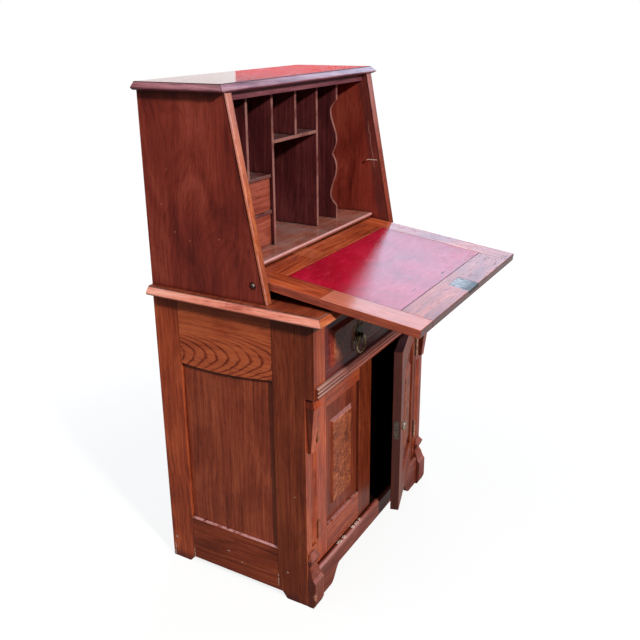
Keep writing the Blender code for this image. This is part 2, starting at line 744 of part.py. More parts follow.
def build_drawer():
    """The long drawer: fielded front, box and two ring pulls."""
    slide = empty("drawer_slide", (0, 0, 0), desk)
    x, z0, z1 = drawer_half_width, drawer_bottom, drawer_top
    back = drawer_face + DRAWER_FRONT_THICKNESS
    side, low, high = x - DRAWER_PANEL_MARGIN, z0 + DRAWER_PANEL_MARGIN, z1 - DRAWER_PANEL_TOP_MARGIN
    bevel = DRAWER_PANEL_BEVEL
    panel_face = drawer_face - DRAWER_PANEL_RISE
    levels = (
        (-x, x, z0, z1, back),
        (-x, x, z0, z1, drawer_face),
        (-side, side, low, high, drawer_face),
        (bevel - side, side - bevel, low + bevel, high - bevel, panel_face),
    )
    fielded("drawer_front", "burr", levels, slide)
    box_y = (back + GAP, back + GAP + DRAWER_LENGTH)
    box_z = (z0, z1 - DRAWER_BOX_DROP)
    tray("drawer_box", "inner_wood", (-x, x), box_y, box_z, DRAWER_WALL, DRAWER_BOTTOM, slide)
    for side, sign in SIDES.items():
        build_pull(side, sign, slide, panel_face, (z0 + z1) / 2 - PULL_BELOW_MIDDLE)


def build_door(side, sign, open_angle):
    """A framed door with a fielded panel, on two butt hinges. Sizes run from the hinge axis."""
    axis = empty(f"{side}_door_axis", (sign * hinge_x, hinge_y, 0), desk, (0, 0, open_angle))
    near = hinge_gap / 2
    far = hinge_x - DOOR_MEETING_GAP / 2
    face = door_face - hinge_y
    back = face + DOOR_THICKNESS
    inner_near, inner_far = near + DOOR_HINGE_STILE, far - DOOR_MEETING_STILE
    inner_low, inner_high = door_bottom + DOOR_BOTTOM_RAIL, door_top - DOOR_TOP_RAIL

    def span(a, b):
        return sorted((-sign * a, -sign * b))

    x0, x1 = span(near, far)
    u0, u1 = span(inner_near, inner_far)
    outline = [(x0, door_bottom), (x1, door_bottom), (x1, door_top), (x0, door_top)]
    opening = [(u0, inner_low), (u1, inner_low), (u1, inner_high), (u0, inner_high)]
    frame = shaped(f"{side}_door_frame", "warm_wood", [outline, opening], face, back, "y", axis)
    ease(frame)
    panel_face = face + DOOR_PANEL_RECESS
    p0, p1, q0, q1 = u0 + GAP, u1 - GAP, inner_low + GAP, inner_high - GAP
    f0, f1 = u0 + DOOR_FIELD_SIDE_MARGIN, u1 - DOOR_FIELD_SIDE_MARGIN
    g0, g1 = inner_low + DOOR_FIELD_BOTTOM_MARGIN, inner_high - DOOR_FIELD_TOP_MARGIN
    bevel = DOOR_FIELD_BEVEL
    levels = (
        (p0, p1, q0, q1, panel_face + DOOR_PANEL_THICKNESS),
        (p0, p1, q0, q1, panel_face),
        (f0, f1, g0, g1, panel_face),
        (f0 + bevel, f1 - bevel, g0 + bevel, g1 - bevel, panel_face - DOOR_FIELD_RISE),
    )
    fielded(f"{side}_door_panel", "burr", levels, axis)
    half_leaf = HINGE_LEAF_THICKNESS / 2
    heights = {"lower": door_bottom + HINGE_FROM_END, "upper": door_top - HINGE_FROM_END}
    for level, z in heights.items():
        low, high = z - HINGE_LENGTH / 2, z + HINGE_LENGTH / 2
        name = f"{side}_door_{level}_hinge"
        barrel = cylinder(name, "brass", HINGE_BARREL_RADIUS, low, high, (0, 0), "z", 16, axis)
        leaf_low = (-half_leaf, 0, low + GAP)
        leaf_high = (half_leaf, face + HINGE_LEAF_DEPTH, high - GAP)
        mesh, middle = box_mesh("leaf", leaf_low, leaf_high)
        combine(barrel, place("leaf", mesh, "brass", middle, axis), "UNION")
    return frame, axis, far, (face + back) / 2


def build_doors():
    """Both doors; the right one stands ajar and carries the lock."""
    build_door("left", -1, 0)
    frame, axis, far, middle_y = build_door("right", 1, DOOR_AJAR)
    middle_z = (door_bottom + door_top) / 2 + DOOR_LOCK_ABOVE_MIDDLE
    half_height, half_width = DOOR_LOCK_HEIGHT / 2, DOOR_LOCK_WIDTH / 2
    edge = -far
    low = (edge, middle_y - half_width, middle_z - half_height)
    high = (edge + DOOR_LOCK_DEPTH, middle_y + half_width, middle_z + half_height)
    mesh, middle = box_mesh("right_door_lock", low, high)
    place("right_door_lock", mesh, "steel", middle, axis)
    pocket_low = [value - GAP for value in low]
    pocket_low[0] = edge - DOOR_MEETING_GAP
    pocket_high = [value + GAP for value in high]
    mesh, middle = box_mesh("mortise", pocket_low, pocket_high)
    combine(frame, place("mortise", mesh, "steel", middle, axis), "DIFFERENCE")


def build_case_side(side, sign):
    """A sloping side with its pivot hole, its half-round lipping and its pivot screw.

    The right side carries the stop pin of the shut fall; on the left, small drawers pass there.
    """
    outer, inner = sign * case_half_width, sign * case_inner
    outline = [(0, seat), (-CASE_DEPTH_BOTTOM, seat), (-CASE_DEPTH_TOP, case_top), (0, case_top)]
    piece = shaped(f"upper_side_{side}", "dark_wood", [outline], *sorted((outer, inner)), "x")
    seat_x = outer - sign * PIVOT_RECESS_DEPTH
    where = (pivot_y, pivot_z)
    beyond = sign * PIVOT_RECESS_DEPTH
    hole_span = sorted((outer + beyond, inner - beyond))
    hole = cylinder("hole", "dark_wood", PIVOT_PIN_RADIUS + GAP, *hole_span, where, "x")
    combine(piece, hole, "DIFFERENCE")
    recess_span = sorted((outer + beyond, seat_x))
    recess = cylinder("recess", "dark_wood", PIVOT_RECESS_RADIUS, *recess_span, where, "x", 32)
    combine(piece, recess, "DIFFERENCE")
    if side == "right":
        pin_z = BASE_HEIGHT + STOP_PIN_RISE
        pin_y = shut_fall_y(pin_z, half_fall + GAP + STOP_PIN_RADIUS)
        pin_span = (inner - STOP_PIN_LENGTH, inner + beyond)
        pin = cylinder("stop_pin", "dark_wood", STOP_PIN_RADIUS, *pin_span, (pin_y, pin_z), "x", 12)
        combine(piece, pin, "UNION")

    middle = sign * (case_half_width - CASE_SIDE_THICKNESS / 2)
    half = CASE_SIDE_THICKNESS / 2
    section = []
    for u, v in arc((0, 0), 1, 180, 360, 12):
        section.append((middle + half * u, LIPPING_DEPTH * v))
    mesh = outline_mesh(f"lipping_{side}", [section], seat, case_top, "z")
    slope = Matrix.Identity(4)
    slope[1][2] = math.tan(lean)
    slope[1][3] = -CASE_DEPTH_BOTTOM - GAP - seat * math.tan(lean)
    mesh.transform(slope)
    place(f"lipping_{side}", mesh, "warm_wood")

    head = PIVOT_HEAD_RADIUS
    profile = [(0, PIVOT_HEAD_HEIGHT)]
    for i in range(1, 5):
        angle = math.pi / 2 * i / 5
        profile.append((head * math.sin(angle), PIVOT_HEAD_HEIGHT * math.cos(angle)))
    length = case_inner - fall_half_width + CASE_SIDE_THICKNESS - PIVOT_RECESS_DEPTH + PIVOT_PIN_ENTRY
    profile += [(head, 0), (PIVOT_PIN_RADIUS, 0), (PIVOT_PIN_RADIUS, -length), (0, -length)]
    place_x = seat_x + sign * GAP
    turned(f"pivot_screw_{side}", "steel", profile, (place_x, *where), (0, sign * math.pi / 2, 0))


def nosed_floor():
    """The interior floor, with a half-round nosing that stops the open fall."""
    radius = FLOOR_THICKNESS / 2
    middle = (floor_front + radius, floor_underside + radius)
    outline = [(inside_back, floor_underside), (inside_back, floor_top)]
    outline += arc(middle, radius, 90, 270, 10)
    half = case_inner - GAP
    shaped("interior_floor", "inner_wood", [outline], -half, half, "x")


def scalloped_divider(x):
    """The tall divider whose front edge is cut in scallops, alike above and below a sharp cusp."""
    outline = [(inside_back, floor_top + GAP), (inside_back, case_top), (divider_front, case_top)]
    cusp = floor_top + SCALLOP_MIDDLE
    upper_half = []
    for i in range(SCALLOP_STEPS):
        t = i / SCALLOP_STEPS
        depth = SCALLOP_CUSP_DEPTH * (1 - math.sin(t * math.pi / 2))
        upper_half.append((cusp + SCALLOP_CREST * t, depth))
    hollow = (cusp + SCALLOP_HOLLOW, SCALLOP_HOLLOW_DEPTH)
    upper_half += sweep((cusp + SCALLOP_CREST, 0), hollow, SCALLOP_STEPS)[:-1]
    for i in range(SCALLOP_STEPS + 1):
        t = i / SCALLOP_STEPS
        depth = SCALLOP_HOLLOW_DEPTH * math.cos(t * math.pi / 2)
        upper_half.append((hollow[0] + (SCALLOP_END - SCALLOP_HOLLOW) * t, depth))
    edge = upper_half[::-1] + [(2 * cusp - z, depth) for z, depth in upper_half[1:]]
    outline += [(divider_front + depth, z) for z, depth in edge]
    outline.append((divider_front, floor_top + GAP))
    half = DIVIDER_THICKNESS / 2
    shaped("divider_scalloped", "inner_wood", [outline], x - half, x + half, "x")


def build_fittings():
    """Floor, dividers, shelves and the two small drawers inside the upper case."""
    nosed_floor()
    half = DIVIDER_THICKNESS / 2
    y = (divider_front, inside_back)
    left_inside = -case_inner + GAP
    left_divider = -bay / 2
    shelf_low = floor_top + CENTRE_SHELF_RISE
    shelf_high = shelf_low + SHELF_THICKNESS
    drawer_shelf_top = drawer_shelf_bottom + SHELF_THICKNESS
    dividers = {
        "divider_far_left": (-bay, drawer_shelf_top),
        "divider_left": (left_divider, floor_top),
        "divider_centre": (0, shelf_high),
        "divider_right": (bay / 2, floor_top),
    }
    for name, (x, foot) in dividers.items():
        board(name, "inner_wood", (x - half, x + half), y, (foot + GAP, case_top))
    scalloped_divider(bay)
    shelf_x = (left_divider + half + GAP, bay / 2 - half - GAP)
    board("centre_shelf", "inner_wood", shelf_x, y, (shelf_low, shelf_high))
    drawer_x = (left_inside, left_divider - half - GAP)
    shelf_y = (divider_front + DRAWER_SHELF_SETBACK, inside_back)
    board("drawer_shelf", "inner_wood", drawer_x, shelf_y, (drawer_shelf_bottom, drawer_shelf_top))
    board("drawer_parting", "inner_wood", drawer_x, shelf_y, (parting_bottom, parting_top))
    x = (-case_inner + RUNNING_GAP, left_divider - half - RUNNING_GAP)
    build_small_drawer("lower_small_drawer", x, (floor_top + GAP, parting_bottom - RUNNING_GAP))
    build_small_drawer("upper_small_drawer", x, (parting_top + GAP, drawer_shelf_bottom - RUNNING_GAP))


def build_small_drawer(name, x, z):
    """A small drawer: a front with a turned knob, and a box."""
    slide = empty(f"{name}_slide", (0, 0, 0), desk)
    face = divider_front + SMALL_FRONT_SETBACK
    back = face + SMALL_FRONT_THICKNESS
    mesh, middle = box_mesh(f"{name}_front", (x[0], face, z[0]), (x[1], back, z[1]))
    front = place(f"{name}_front", mesh, "warm_wood", middle, slide)
    profile = [(0, KNOB_LENGTH)]
    for i in range(1, 6):
        angle = math.pi * i / 6
        drop = KNOB_RADIUS * (1 - math.cos(angle)) / 2
        profile.append((KNOB_RADIUS * math.sin(angle), KNOB_LENGTH - drop))
    sunk = -SMALL_FRONT_THICKNESS / 2
    profile += [(KNOB_NECK_RADIUS, KNOB_LENGTH - KNOB_RADIUS), (KNOB_NECK_RADIUS, sunk), (0, sunk)]
    where = (middle[0], face, middle[2])
    knob = turned("knob", "warm_wood", profile, where, (math.pi / 2, 0, 0), slide, 16)
    combine(front, knob, "UNION")
    box_y = (back + GAP, inside_back - RUNNING_GAP)
    box_z = (z[0], z[1] - SMALL_BOX_DROP)
    tray(f"{name}_box", "inner_wood", x, box_y, box_z, SMALL_WALL, SMALL_BOTTOM, slide)


def build_case():
    """The upper case."""
    for side, sign in SIDES.items():
        build_case_side(side, sign)
    half = case_inner - GAP
    board("upper_back", "inner_wood", (-half, half), (-CASE_BACK_THICKNESS, 0), (seat, case_top))
    rail_y = (shut_fall_y(top_rail_underside, -half_fall), shut_fall_y(top_rail_underside, half_fall))
    board("top_rail", "dark_wood", (-half, half), rail_y, (top_rail_underside, case_top))
    under = case_top + GAP
    lip = under + TOP_LIP_HEIGHT
    upper = under + TOP_THICKNESS
    levels = (
        (TOP_LIP_WIDTH, under),
        (0, lip),
        (0, upper - TOP_BEVEL_HEIGHT),
        (TOP_BEVEL_WIDTH, upper),
    )
    half_width = case_half_width + TOP_SIDE_OVERHANG
    moulded_top("top_board", "dark_wood", half_width, -CASE_DEPTH_TOP - TOP_FRONT_OVERHANG, levels)


def build_fall():
    """The fall, laid out along its own length from the pivot: -Y runs to its front edge."""
    pivot = empty("fall_pivot", (0, pivot_y, pivot_z), desk, (FALL_SLOPE, 0, 0))
    inner = fall_half_width - FALL_STILE
    rail_x = (-inner + GAP, inner - GAP)
    front, back = -fall_reach, tongue
    thick = (-half_fall, half_fall)
    for side, sign in SIDES.items():
        x = (sign * inner, sign * fall_half_width)
        stile = board(f"fall_stile_{side}", "warm_wood", x, (front, back), thick, pivot)
        entry = sign * (fall_half_width - PIVOT_PIN_ENTRY - RUNNING_GAP)
        span = sorted((entry, sign * (fall_half_width + RUNNING_GAP)))
        hole = cylinder("hole", "steel", PIVOT_PIN_RADIUS + GAP, *span, (0, 0), "x", parent=pivot)
        combine(stile, hole, "DIFFERENCE")
    front_rail_y = (front, front + FALL_FRONT_RAIL)
    back_rail_y = (back - FALL_BACK_RAIL, back)
    front_rail = board("fall_front_rail", "warm_wood", rail_x, front_rail_y, thick, pivot)
    board("fall_back_rail", "warm_wood", rail_x, back_rail_y, thick, pivot)
    inside_y = (front_rail_y[1] + GAP, back_rail_y[0] - GAP)
    leather_z = (half_fall - GAP - LEATHER_THICKNESS, half_fall - GAP)
    panel_z = (-half_fall + FALL_PANEL_SINK, leather_z[0] - GAP)
    board("fall_panel", "dark_wood", rail_x, inside_y, panel_z, pivot)
    board("writing_leather", "leather", rail_x, inside_y, leather_z, pivot)
    half_lock = FALL_LOCK_WIDTH / 2
    low = (-half_lock, front + GAP, half_fall - FALL_LOCK_DEPTH)
    high = (half_lock, front + FALL_LOCK_LENGTH, half_fall - GAP)
    mesh, middle = box_mesh("fall_lock", low, high)
    place("fall_lock", mesh, "steel", middle, pivot)
    pocket_low = (low[0] - GAP, front - FALL_LOCK_DEPTH, low[2] - GAP)
    pocket_high = (high[0] + GAP, high[1] + GAP, half_fall + FALL_LOCK_DEPTH)
    mesh, middle = box_mesh("mortise", pocket_low, pocket_high)
    combine(front_rail, place("mortise", mesh, "steel", middle, pivot), "DIFFERENCE")


build_base()
build_drawer()
build_doors()
build_case()
build_fittings()
build_fall()
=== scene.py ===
"""Looks of the drop-front desk: materials, small fittings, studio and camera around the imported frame."""

import json
import math
import random

import bmesh
import bpy
from mathutils import Matrix, Vector


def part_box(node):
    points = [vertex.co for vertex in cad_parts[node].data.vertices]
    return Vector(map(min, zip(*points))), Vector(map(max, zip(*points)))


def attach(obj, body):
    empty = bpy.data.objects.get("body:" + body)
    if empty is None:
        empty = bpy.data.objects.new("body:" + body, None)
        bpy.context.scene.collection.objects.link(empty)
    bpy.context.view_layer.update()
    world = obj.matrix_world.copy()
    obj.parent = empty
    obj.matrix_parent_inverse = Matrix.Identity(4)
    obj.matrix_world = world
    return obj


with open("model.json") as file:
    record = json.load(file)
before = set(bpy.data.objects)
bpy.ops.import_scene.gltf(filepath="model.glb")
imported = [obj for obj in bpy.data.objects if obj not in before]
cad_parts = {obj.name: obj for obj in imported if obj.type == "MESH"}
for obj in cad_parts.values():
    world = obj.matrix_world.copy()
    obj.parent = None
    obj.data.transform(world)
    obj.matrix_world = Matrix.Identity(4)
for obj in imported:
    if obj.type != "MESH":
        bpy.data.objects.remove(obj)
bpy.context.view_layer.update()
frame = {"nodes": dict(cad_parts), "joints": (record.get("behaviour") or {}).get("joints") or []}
nodes = frame["nodes"]
joints = {joint["name"]: joint for joint in frame["joints"]}

# Camera, solved from the photo's straight edges
CAMERA_PLACE = (-1.6399, -0.8713, 1.3199)
CAMERA_FORWARD = (0.8119, 0.4758, -0.3383)
CAMERA_ROLL = math.radians(-0.674)
CAMERA_LENS = 44.42
CAMERA_SHIFT = (0.0097, -0.0253)

# Own axes of the fall and of the doors, at rest, as matrices into the desk's frame
FALL_SLOPE = math.radians(7.06)
DOOR_AJAR = math.radians(-joints["right_door_hinge"]["range_deg"][0])
FALL = Matrix.Translation(joints["fall_pivot"]["pos_m"]) @ Matrix.Rotation(FALL_SLOPE, 4, "X")
LEFT_DOOR = Matrix.Translation(joints["left_door_hinge"]["pos_m"])
RIGHT_DOOR = Matrix.Translation(joints["right_door_hinge"]["pos_m"]) @ Matrix.Rotation(DOOR_AJAR, 4, "Z")

# Directions in which faces look, at rest
UP = (0, 0, 1)
FRONT = (0, -1, 0)
LEFT = (-1, 0, 0)
RIGHT = (1, 0, 0)
CHAMFER = (0, -0.5, 0.86)

FIELD_EDGE = 0.0012       # depth of the veneered face of a raised field
SKIN = 0.0006             # depth of a face's own tone
SUNK = -0.0004            # foot of a small fitting, just below the surface that carries it
TOP_MOULDING = 0.0125     # width of the moulding round the top board
BASE_MOULDING = 0.0112    # width of the moulding round the base top
MIRRORED = 0.06           # share of the white background that polish and metal mirror
FRONT_SHEEN = 0.5         # the same for the floor just in front of the desk


class Graph:
    """Short names for the shader nodes of one material or world."""

    def __init__(self, name, kind="materials"):
        self.owner = getattr(bpy.data, kind).new(name)
        self.owner.use_nodes = True
        self.tree = self.owner.node_tree
        self.shader = self.tree.nodes.get("Principled BSDF")

    def put(self, socket, value):
        """Links a socket, or sets its own value."""
        if isinstance(value, bpy.types.NodeSocket):
            self.tree.links.new(value, socket)
        elif socket.type == "RGBA" and len(value) == 3:
            socket.default_value = (*value, 1)
        else:
            socket.default_value = value

    def add(self, kind, inputs=None, **settings):
        made = self.tree.nodes.new("ShaderNode" + kind)
        for key, value in settings.items():
            setattr(made, key, value)
        for key, value in (inputs or {}).items():
            self.put(made.inputs[key], value)
        return made

    def surface(self, inputs):
        """Links or sets inputs of the material's own shader."""
        for key, value in inputs.items():
            self.put(self.shader.inputs[key], value)

    def wear(self):
        """Gives the CAD piece of the same name this finish."""
        mesh = nodes[self.owner.name].data
        mesh.materials.clear()
        mesh.materials.append(self.owner)

    def math(self, operation, a, b=0.0, c=0.0):
        return self.add("Math", {0: a, 1: b, 2: c}, operation=operation).outputs[0]

    def minus(self, a, b):
        return self.math("SUBTRACT", a, b)

    def over(self, a, b):
        """1 where a is more than b, else 0."""
        return self.math("GREATER_THAN", a, b)

    def under(self, a, b):
        """1 where a is less than b, else 0."""
        return self.math("LESS_THAN", a, b)

    def chain(self, operation, first, *others):
        for other in others:
            first = self.math(operation, first, other)
        return first

    def product(self, *values):
        return self.chain("MULTIPLY", *values)

    def most(self, *values):
        return self.chain("MAXIMUM", *values)

    def least(self, *values):
        return self.chain("MINIMUM", *values)

    def total(self, *terms):
        """The sum of (value, weight) pairs and plain values."""
        result = 0.0
        for term in terms:
            value, weight = term if isinstance(term, tuple) else (term, 1.0)
            result = self.math("MULTIPLY_ADD", value, weight, result)
        return result

    def vector(self, operation, a, b):
        return self.add("VectorMath", {0: a, 1: b}, operation=operation).outputs[0]

    def dot(self, a, b):
        return self.add("VectorMath", {0: a, 1: b}, operation="DOT_PRODUCT").outputs["Value"]

    def mix(self, factor, a, b):
        return self.add("Mix", {0: factor, 6: a, 7: b}, data_type="RGBA").outputs[2]

    def tint(self, colour, other, *masks):
        """A colour that goes over to another by the product of the masks."""
        return self.mix(self.product(*masks), colour, other)

    def smooth(self, value, low, high):
        """0 at low, 1 at high, with a soft step between them."""
        inputs = {"Value": value, "From Min": low, "From Max": high}
        return self.add("MapRange", inputs, interpolation_type="SMOOTHSTEP").outputs[0]

    def band(self, value, middle, half, soft):
        """1 within half of a middle, with a soft edge."""
        away = self.math("ABSOLUTE", self.minus(value, middle))
        return self.smooth(away, half + soft, half)

    def noise(self, vector, scale, detail=3.0, rough=0.55, bend=0.0):
        inputs = {"Vector": vector, "Scale": scale, "Detail": detail, "Roughness": rough, "Distortion": bend}
        return self.add("TexNoise", inputs).outputs[0]

    def ramp(self, value, stops):
        made = self.add("ValToRGB", {0: value})
        band = made.color_ramp
        while len(band.elements) < len(stops):
            band.elements.new(0.5)
        for element, (place, colour) in zip(band.elements, stops):
            element.position = place
            element.color = (*colour, 1)
        return made.outputs[0]

    def bump(self, height, strength, distance):
        inputs = {"Strength": strength, "Distance": distance, "Height": height}
        return self.add("Bump", inputs).outputs[0]

    def place(self, own=None):
        """The point in the desk's frame at rest, or in a moving board's own axes."""
        point = self.add("TexCoord").outputs["Object"]
        if own is None:
            return point
        back = own.inverted()
        inputs = {"Vector": point, "Location": back.to_translation(), "Rotation": back.to_euler()}
        return self.add("Mapping", inputs).outputs[0]

    def combine(self, x, y, z):
        return self.add("CombineXYZ", {0: x, 1: y, 2: z}).outputs[0]

    def split(self, vector):
        return self.add("SeparateXYZ", {0: vector}).outputs

    def inset(self, point, low, high):
        """How far a point lies inside the rectangle between two corners, in x and y."""
        x, y, _ = self.split(point)
        return self.least(self.minus(x, low[0]), self.minus(high[0], x),
                          self.minus(y, low[1]), self.minus(high[1], y))

    def facing(self, direction, spread=0.65):
        """1 on faces that look along a direction of the desk at rest, 0 on those that turn away from it."""
        normal = self.add("TexCoord").outputs["Normal"]
        along = self.dot(normal, Vector(direction).normalized())
        return self.smooth(along, 1 - spread, 1 - 0.3 * spread)

    def spot(self, point, middle, size, ragged, grit):
        """1 inside a ragged patch about a middle, in metres."""
        away = self.vector("SUBTRACT", point, middle)
        shaped = self.vector("MULTIPLY", away, [1 / s for s in size])
        length = self.add("VectorMath", {0: shaped}, operation="LENGTH").outputs["Value"]
        rough = self.math("MULTIPLY_ADD", self.noise(point, grit, 2.0), 2 * ragged, -ragged)
        return self.smooth(self.math("ADD", length, rough), 1.0, 0.75)


def srgb(r, g, b):
    """A colour read as 0 to 255 in the picture, as the light value that shows it."""
    out = []
    for value in (r, g, b):
        value /= 255
        out.append(value / 12.92 if value <= 0.04045 else ((value + 0.055) / 1.055) ** 2.4)
    return tuple(out)


def scaled(colour, factor):
    return tuple(value * factor for value in colour)


def shaded(tones, factor):
    return tuple(scaled(tone, factor) for tone in tones)


# Wood tones: dark, middle and light
TONES = {
    "case": (srgb(94, 31, 24), srgb(136, 52, 40), srgb(170, 78, 60)),
    "top": (srgb(116, 36, 26), srgb(156, 54, 40), srgb(188, 80, 60)),
    # edge: mauve that paints in the bluish sky mirrored by the top's mouldings and the top rail
    "edge": (srgb(96, 48, 55), srgb(138, 80, 90), srgb(170, 110, 120)),
    # Lilac of the top board's front moulding: a painted reflection of the bluish sky
    "sky_sheen": (srgb(112, 70, 84), srgb(156, 110, 126), srgb(186, 142, 156)),
    "frame": (srgb(102, 37, 20), srgb(160, 68, 39), srgb(202, 101, 60)),
    "panel": (srgb(88, 34, 20), srgb(134, 58, 36), srgb(168, 84, 54)),
    "plinth": (srgb(90, 36, 27), srgb(134, 63, 48), srgb(168, 92, 74)),
    "lip": (srgb(146, 66, 36), srgb(194, 102, 62), srgb(228, 142, 96)),
    # salmon: the base top's moulded ends, paled to pink as painted sheen of light from above
    "salmon": (srgb(186, 92, 74), srgb(228, 138, 116), srgb(246, 176, 156)),
    "inner": (srgb(50, 18, 20), srgb(86, 34, 36), srgb(118, 56, 56)),
    "floor": (srgb(120, 58, 46), srgb(166, 92, 74), srgb(196, 126, 106)),
    "raw": (srgb(104, 66, 42), srgb(146, 98, 64), srgb(182, 132, 92)),
    "drawer": (srgb(136, 92, 58), srgb(172, 124, 82), srgb(202, 154, 110)),
}
BURR_TONES = (srgb(70, 26, 14), srgb(140, 66, 38), srgb(186, 100, 60), srgb(222, 146, 94))
GREY_DUST = srgb(170, 142, 138)
BARE_CHIP = srgb(240, 222, 206)
# Pale pink of painted highlights on front edges, and of a glue line
PALE_HIGHLIGHT_AND_GLUE = srgb(206, 150, 138)
# Pink of painted sheen: light from above and the sky mirrored in faces that look up or forward
PINK_SHEEN = srgb(226, 172, 172)
# Dark of joints and dirt, also used for painted shade in corners, joints and grooves
GRIME_AND_SHADE = srgb(22, 8, 7)
# Painted shade: the near-black of the faces within the base cupboard
CUPBOARD_SHADE = srgb(20, 10, 8)
DAMP = srgb(72, 32, 36)


def in_own_axes(node, own):
    """Lowest and highest corners of a node, in its own axes."""
    back = own.inverted()
    points = [back @ vertex.co for vertex in nodes[node].data.vertices]
    low = Vector([min(p[i] for p in points) for i in range(3)])
    high = Vector([max(p[i] for p in points) for i in range(3)])
    return low, high


def grain(g, point, along, seed, figure=None, knots=()):
    """Streaks, fibres, pores and growth rings of a board, as four values. along names its long axis.

    figure, if given, is (tip along, axis across, tilt of the axis, curl, rings a metre) of nested arches.
    knots are (across, along, size, push) of places that the growth rings flow around.
    """
    x, y, z = g.split(point)
    across_a, across_b, length = {"x": (y, z, x), "y": (x, z, y), "z": (x, y, z)}[along]
    rng = random.Random(seed)
    offset = [rng.uniform(-9, 9) for _ in range(3)]
    slow = g.vector("ADD", g.combine(across_a, across_b, g.product(length, 0.3)), offset)
    wander = g.minus(g.noise(slow, 4.5, 2.0), 0.5)
    if figure:
        tip, axis, tilt, curl, rings = figure
        out = g.total(across_b, (length, -tilt), -axis)
        ripple = g.minus(g.noise(slow, 34.0, 2.0), 0.5)
        level = g.total(length, (g.product(out, out), -curl), (wander, 0.09), (ripple, 0.03), -tip)
    else:
        rings = 85.0
        level = g.total(across_b, (across_a, 0.6), (wander, 0.22))
    for across, far, size, push in knots:
        beside = g.minus(across_b, across)
        beyond = g.product(g.minus(length, far), 0.55)
        square = g.math("ADD", g.product(beside, beside), g.product(beyond, beyond))
        hump = g.math("EXPONENT", g.product(square, -1 / size ** 2))
        level = g.math("MULTIPLY_ADD", hump, push, level)
    saw = g.math("FRACT", g.product(level, rings))
    late = g.product(g.smooth(saw, 0.55 if figure else 0.3, 0.88), g.smooth(saw, 1.0, 0.9))
    if figure:
        uneven = g.smooth(g.noise(slow, 26.0, 3.0), 0.2, 0.62)
        late = g.product(late, g.smooth(out, 0.07, 0.03), uneven)
    sway = g.product(wander, 0.06)
    a = g.math("ADD", across_a, sway)
    b = g.math("ADD", across_b, sway)
    fine = g.vector("ADD", g.combine(a, b, g.product(length, 0.03)), offset)
    dashes = g.vector("ADD", g.combine(a, b, g.product(length, 0.07)), offset)
    streaks = g.noise(fine, 120.0, 4.0, 0.66)
    fibres = g.noise(fine, 420.0, 3.0, 0.6)
    pores = g.smooth(g.noise(dashes, 520.0, 2.0, 0.5), 0.59, 0.7)
    return streaks, fibres, pores, late


def wood_colour(g, point, along, seed, tones, figure=None, contrast=1.0, mottle=0.5, knots=()):
    """The colour of a board, with the fibres and pores that drive its gloss and relief."""
    streaks, fibres, pores, late = grain(g, point, along, seed, figure, knots)
    stretch = {"x": (0.45, 1, 1), "y": (1, 0.45, 1), "z": (1, 1, 0.45)}[along]
    drawn = g.vector("MULTIPLY", point, stretch)
    cloud = g.noise(g.vector("ADD", drawn, (seed, 0, seed)), 11.0, 4.0, 0.6, 0.8)
    ring_depth = 0.34 if figure else 0.045
    level = 0.5 - 0.425 * contrast - 0.5 * mottle + 0.35 * ring_depth
    value = g.total((streaks, 0.55 * contrast), (fibres, 0.3 * contrast), (cloud, mottle),
                    (late, -ring_depth), level)
    dark, middle, light = tones
    colour = g.ramp(value, ((0.3, dark), (0.5, middle), (0.7, light)))
    return g.tint(colour, scaled(dark, 0.4), pores, 0.55), fibres, pores


def shade_and_grime(g, colour, amount=0.8, reach=0.014):
    """Painted shade from ambient occlusion, darkening the corners and joints; it stands also for old polish
    and dirt gathered there.
    """
    open_sky = g.add("AmbientOcclusion", {"Distance": reach}, samples=6).outputs["AO"]
    return g.tint(colour, GRIME_AND_SHADE, g.smooth(open_sky, 0.86, 0.3), amount)


def worn_edges(g, point, colour, light, amount):
    """Polish rubbed thin along the arrises."""
    bevel = g.add("Bevel", {"Radius": 0.003}, samples=3).outputs[0]
    true = g.add("NewGeometry").outputs["True Normal"]
    patchy = g.smooth(g.noise(point, 30.0, 4.0, 0.65), 0.42, 0.64)
    return g.tint(colour, scaled(light, 1.15), g.smooth(g.dot(bevel, true), 0.985, 0.86), patchy, amount)


def worn_and_shaded(g, point, colour, light, wear, dress):
    """Worn edges, painted shade and dirt in the corners, and then the marks of dress: each gives back the
    colour with a mark added.
    """
    colour = shade_and_grime(g, worn_edges(g, point, colour, light, wear))
    for add in dress:
        colour = add(g, point, colour)
    return colour


def polish(g, point, colour, fibres, pores, gloss, coat, specular=0.3):
    """French polish over the grain, rubbed unevenly and with open pores, on the CAD piece of that name."""
    rubbed = g.noise(point, 24.0, 4.0, 0.6)
    rough = g.total((rubbed, 0.16), (fibres, 0.08), (pores, 0.12), gloss - 0.12)
    relief = g.bump(g.total((fibres, 0.4), (pores, -0.7)), 0.2, 0.0006)
    g.surface({"Base Color": colour, "Roughness": rough, "Normal": relief, "Specular IOR Level": specular,
               "Coat Weight": coat, "Coat Roughness": 0.14})
    g.wear()


def wood(node, along, tones, seed, own=None, gloss=0.3, contrast=1.0, mottle=0.5, knots=(), dress=(),
         coat=0.1, shade=1.0):
    """A polished board with its grain along the named axis."""
    g = Graph(node)
    point = g.place(own)
    tones = shaded(TONES[tones], shade)
    colour, fibres, pores = wood_colour(g, point, along, seed, tones, None, contrast, mottle, knots)
    colour = worn_and_shaded(g, point, colour, tones[2], 0.4, dress)
    polish(g, point, colour, fibres, pores, gloss, coat)


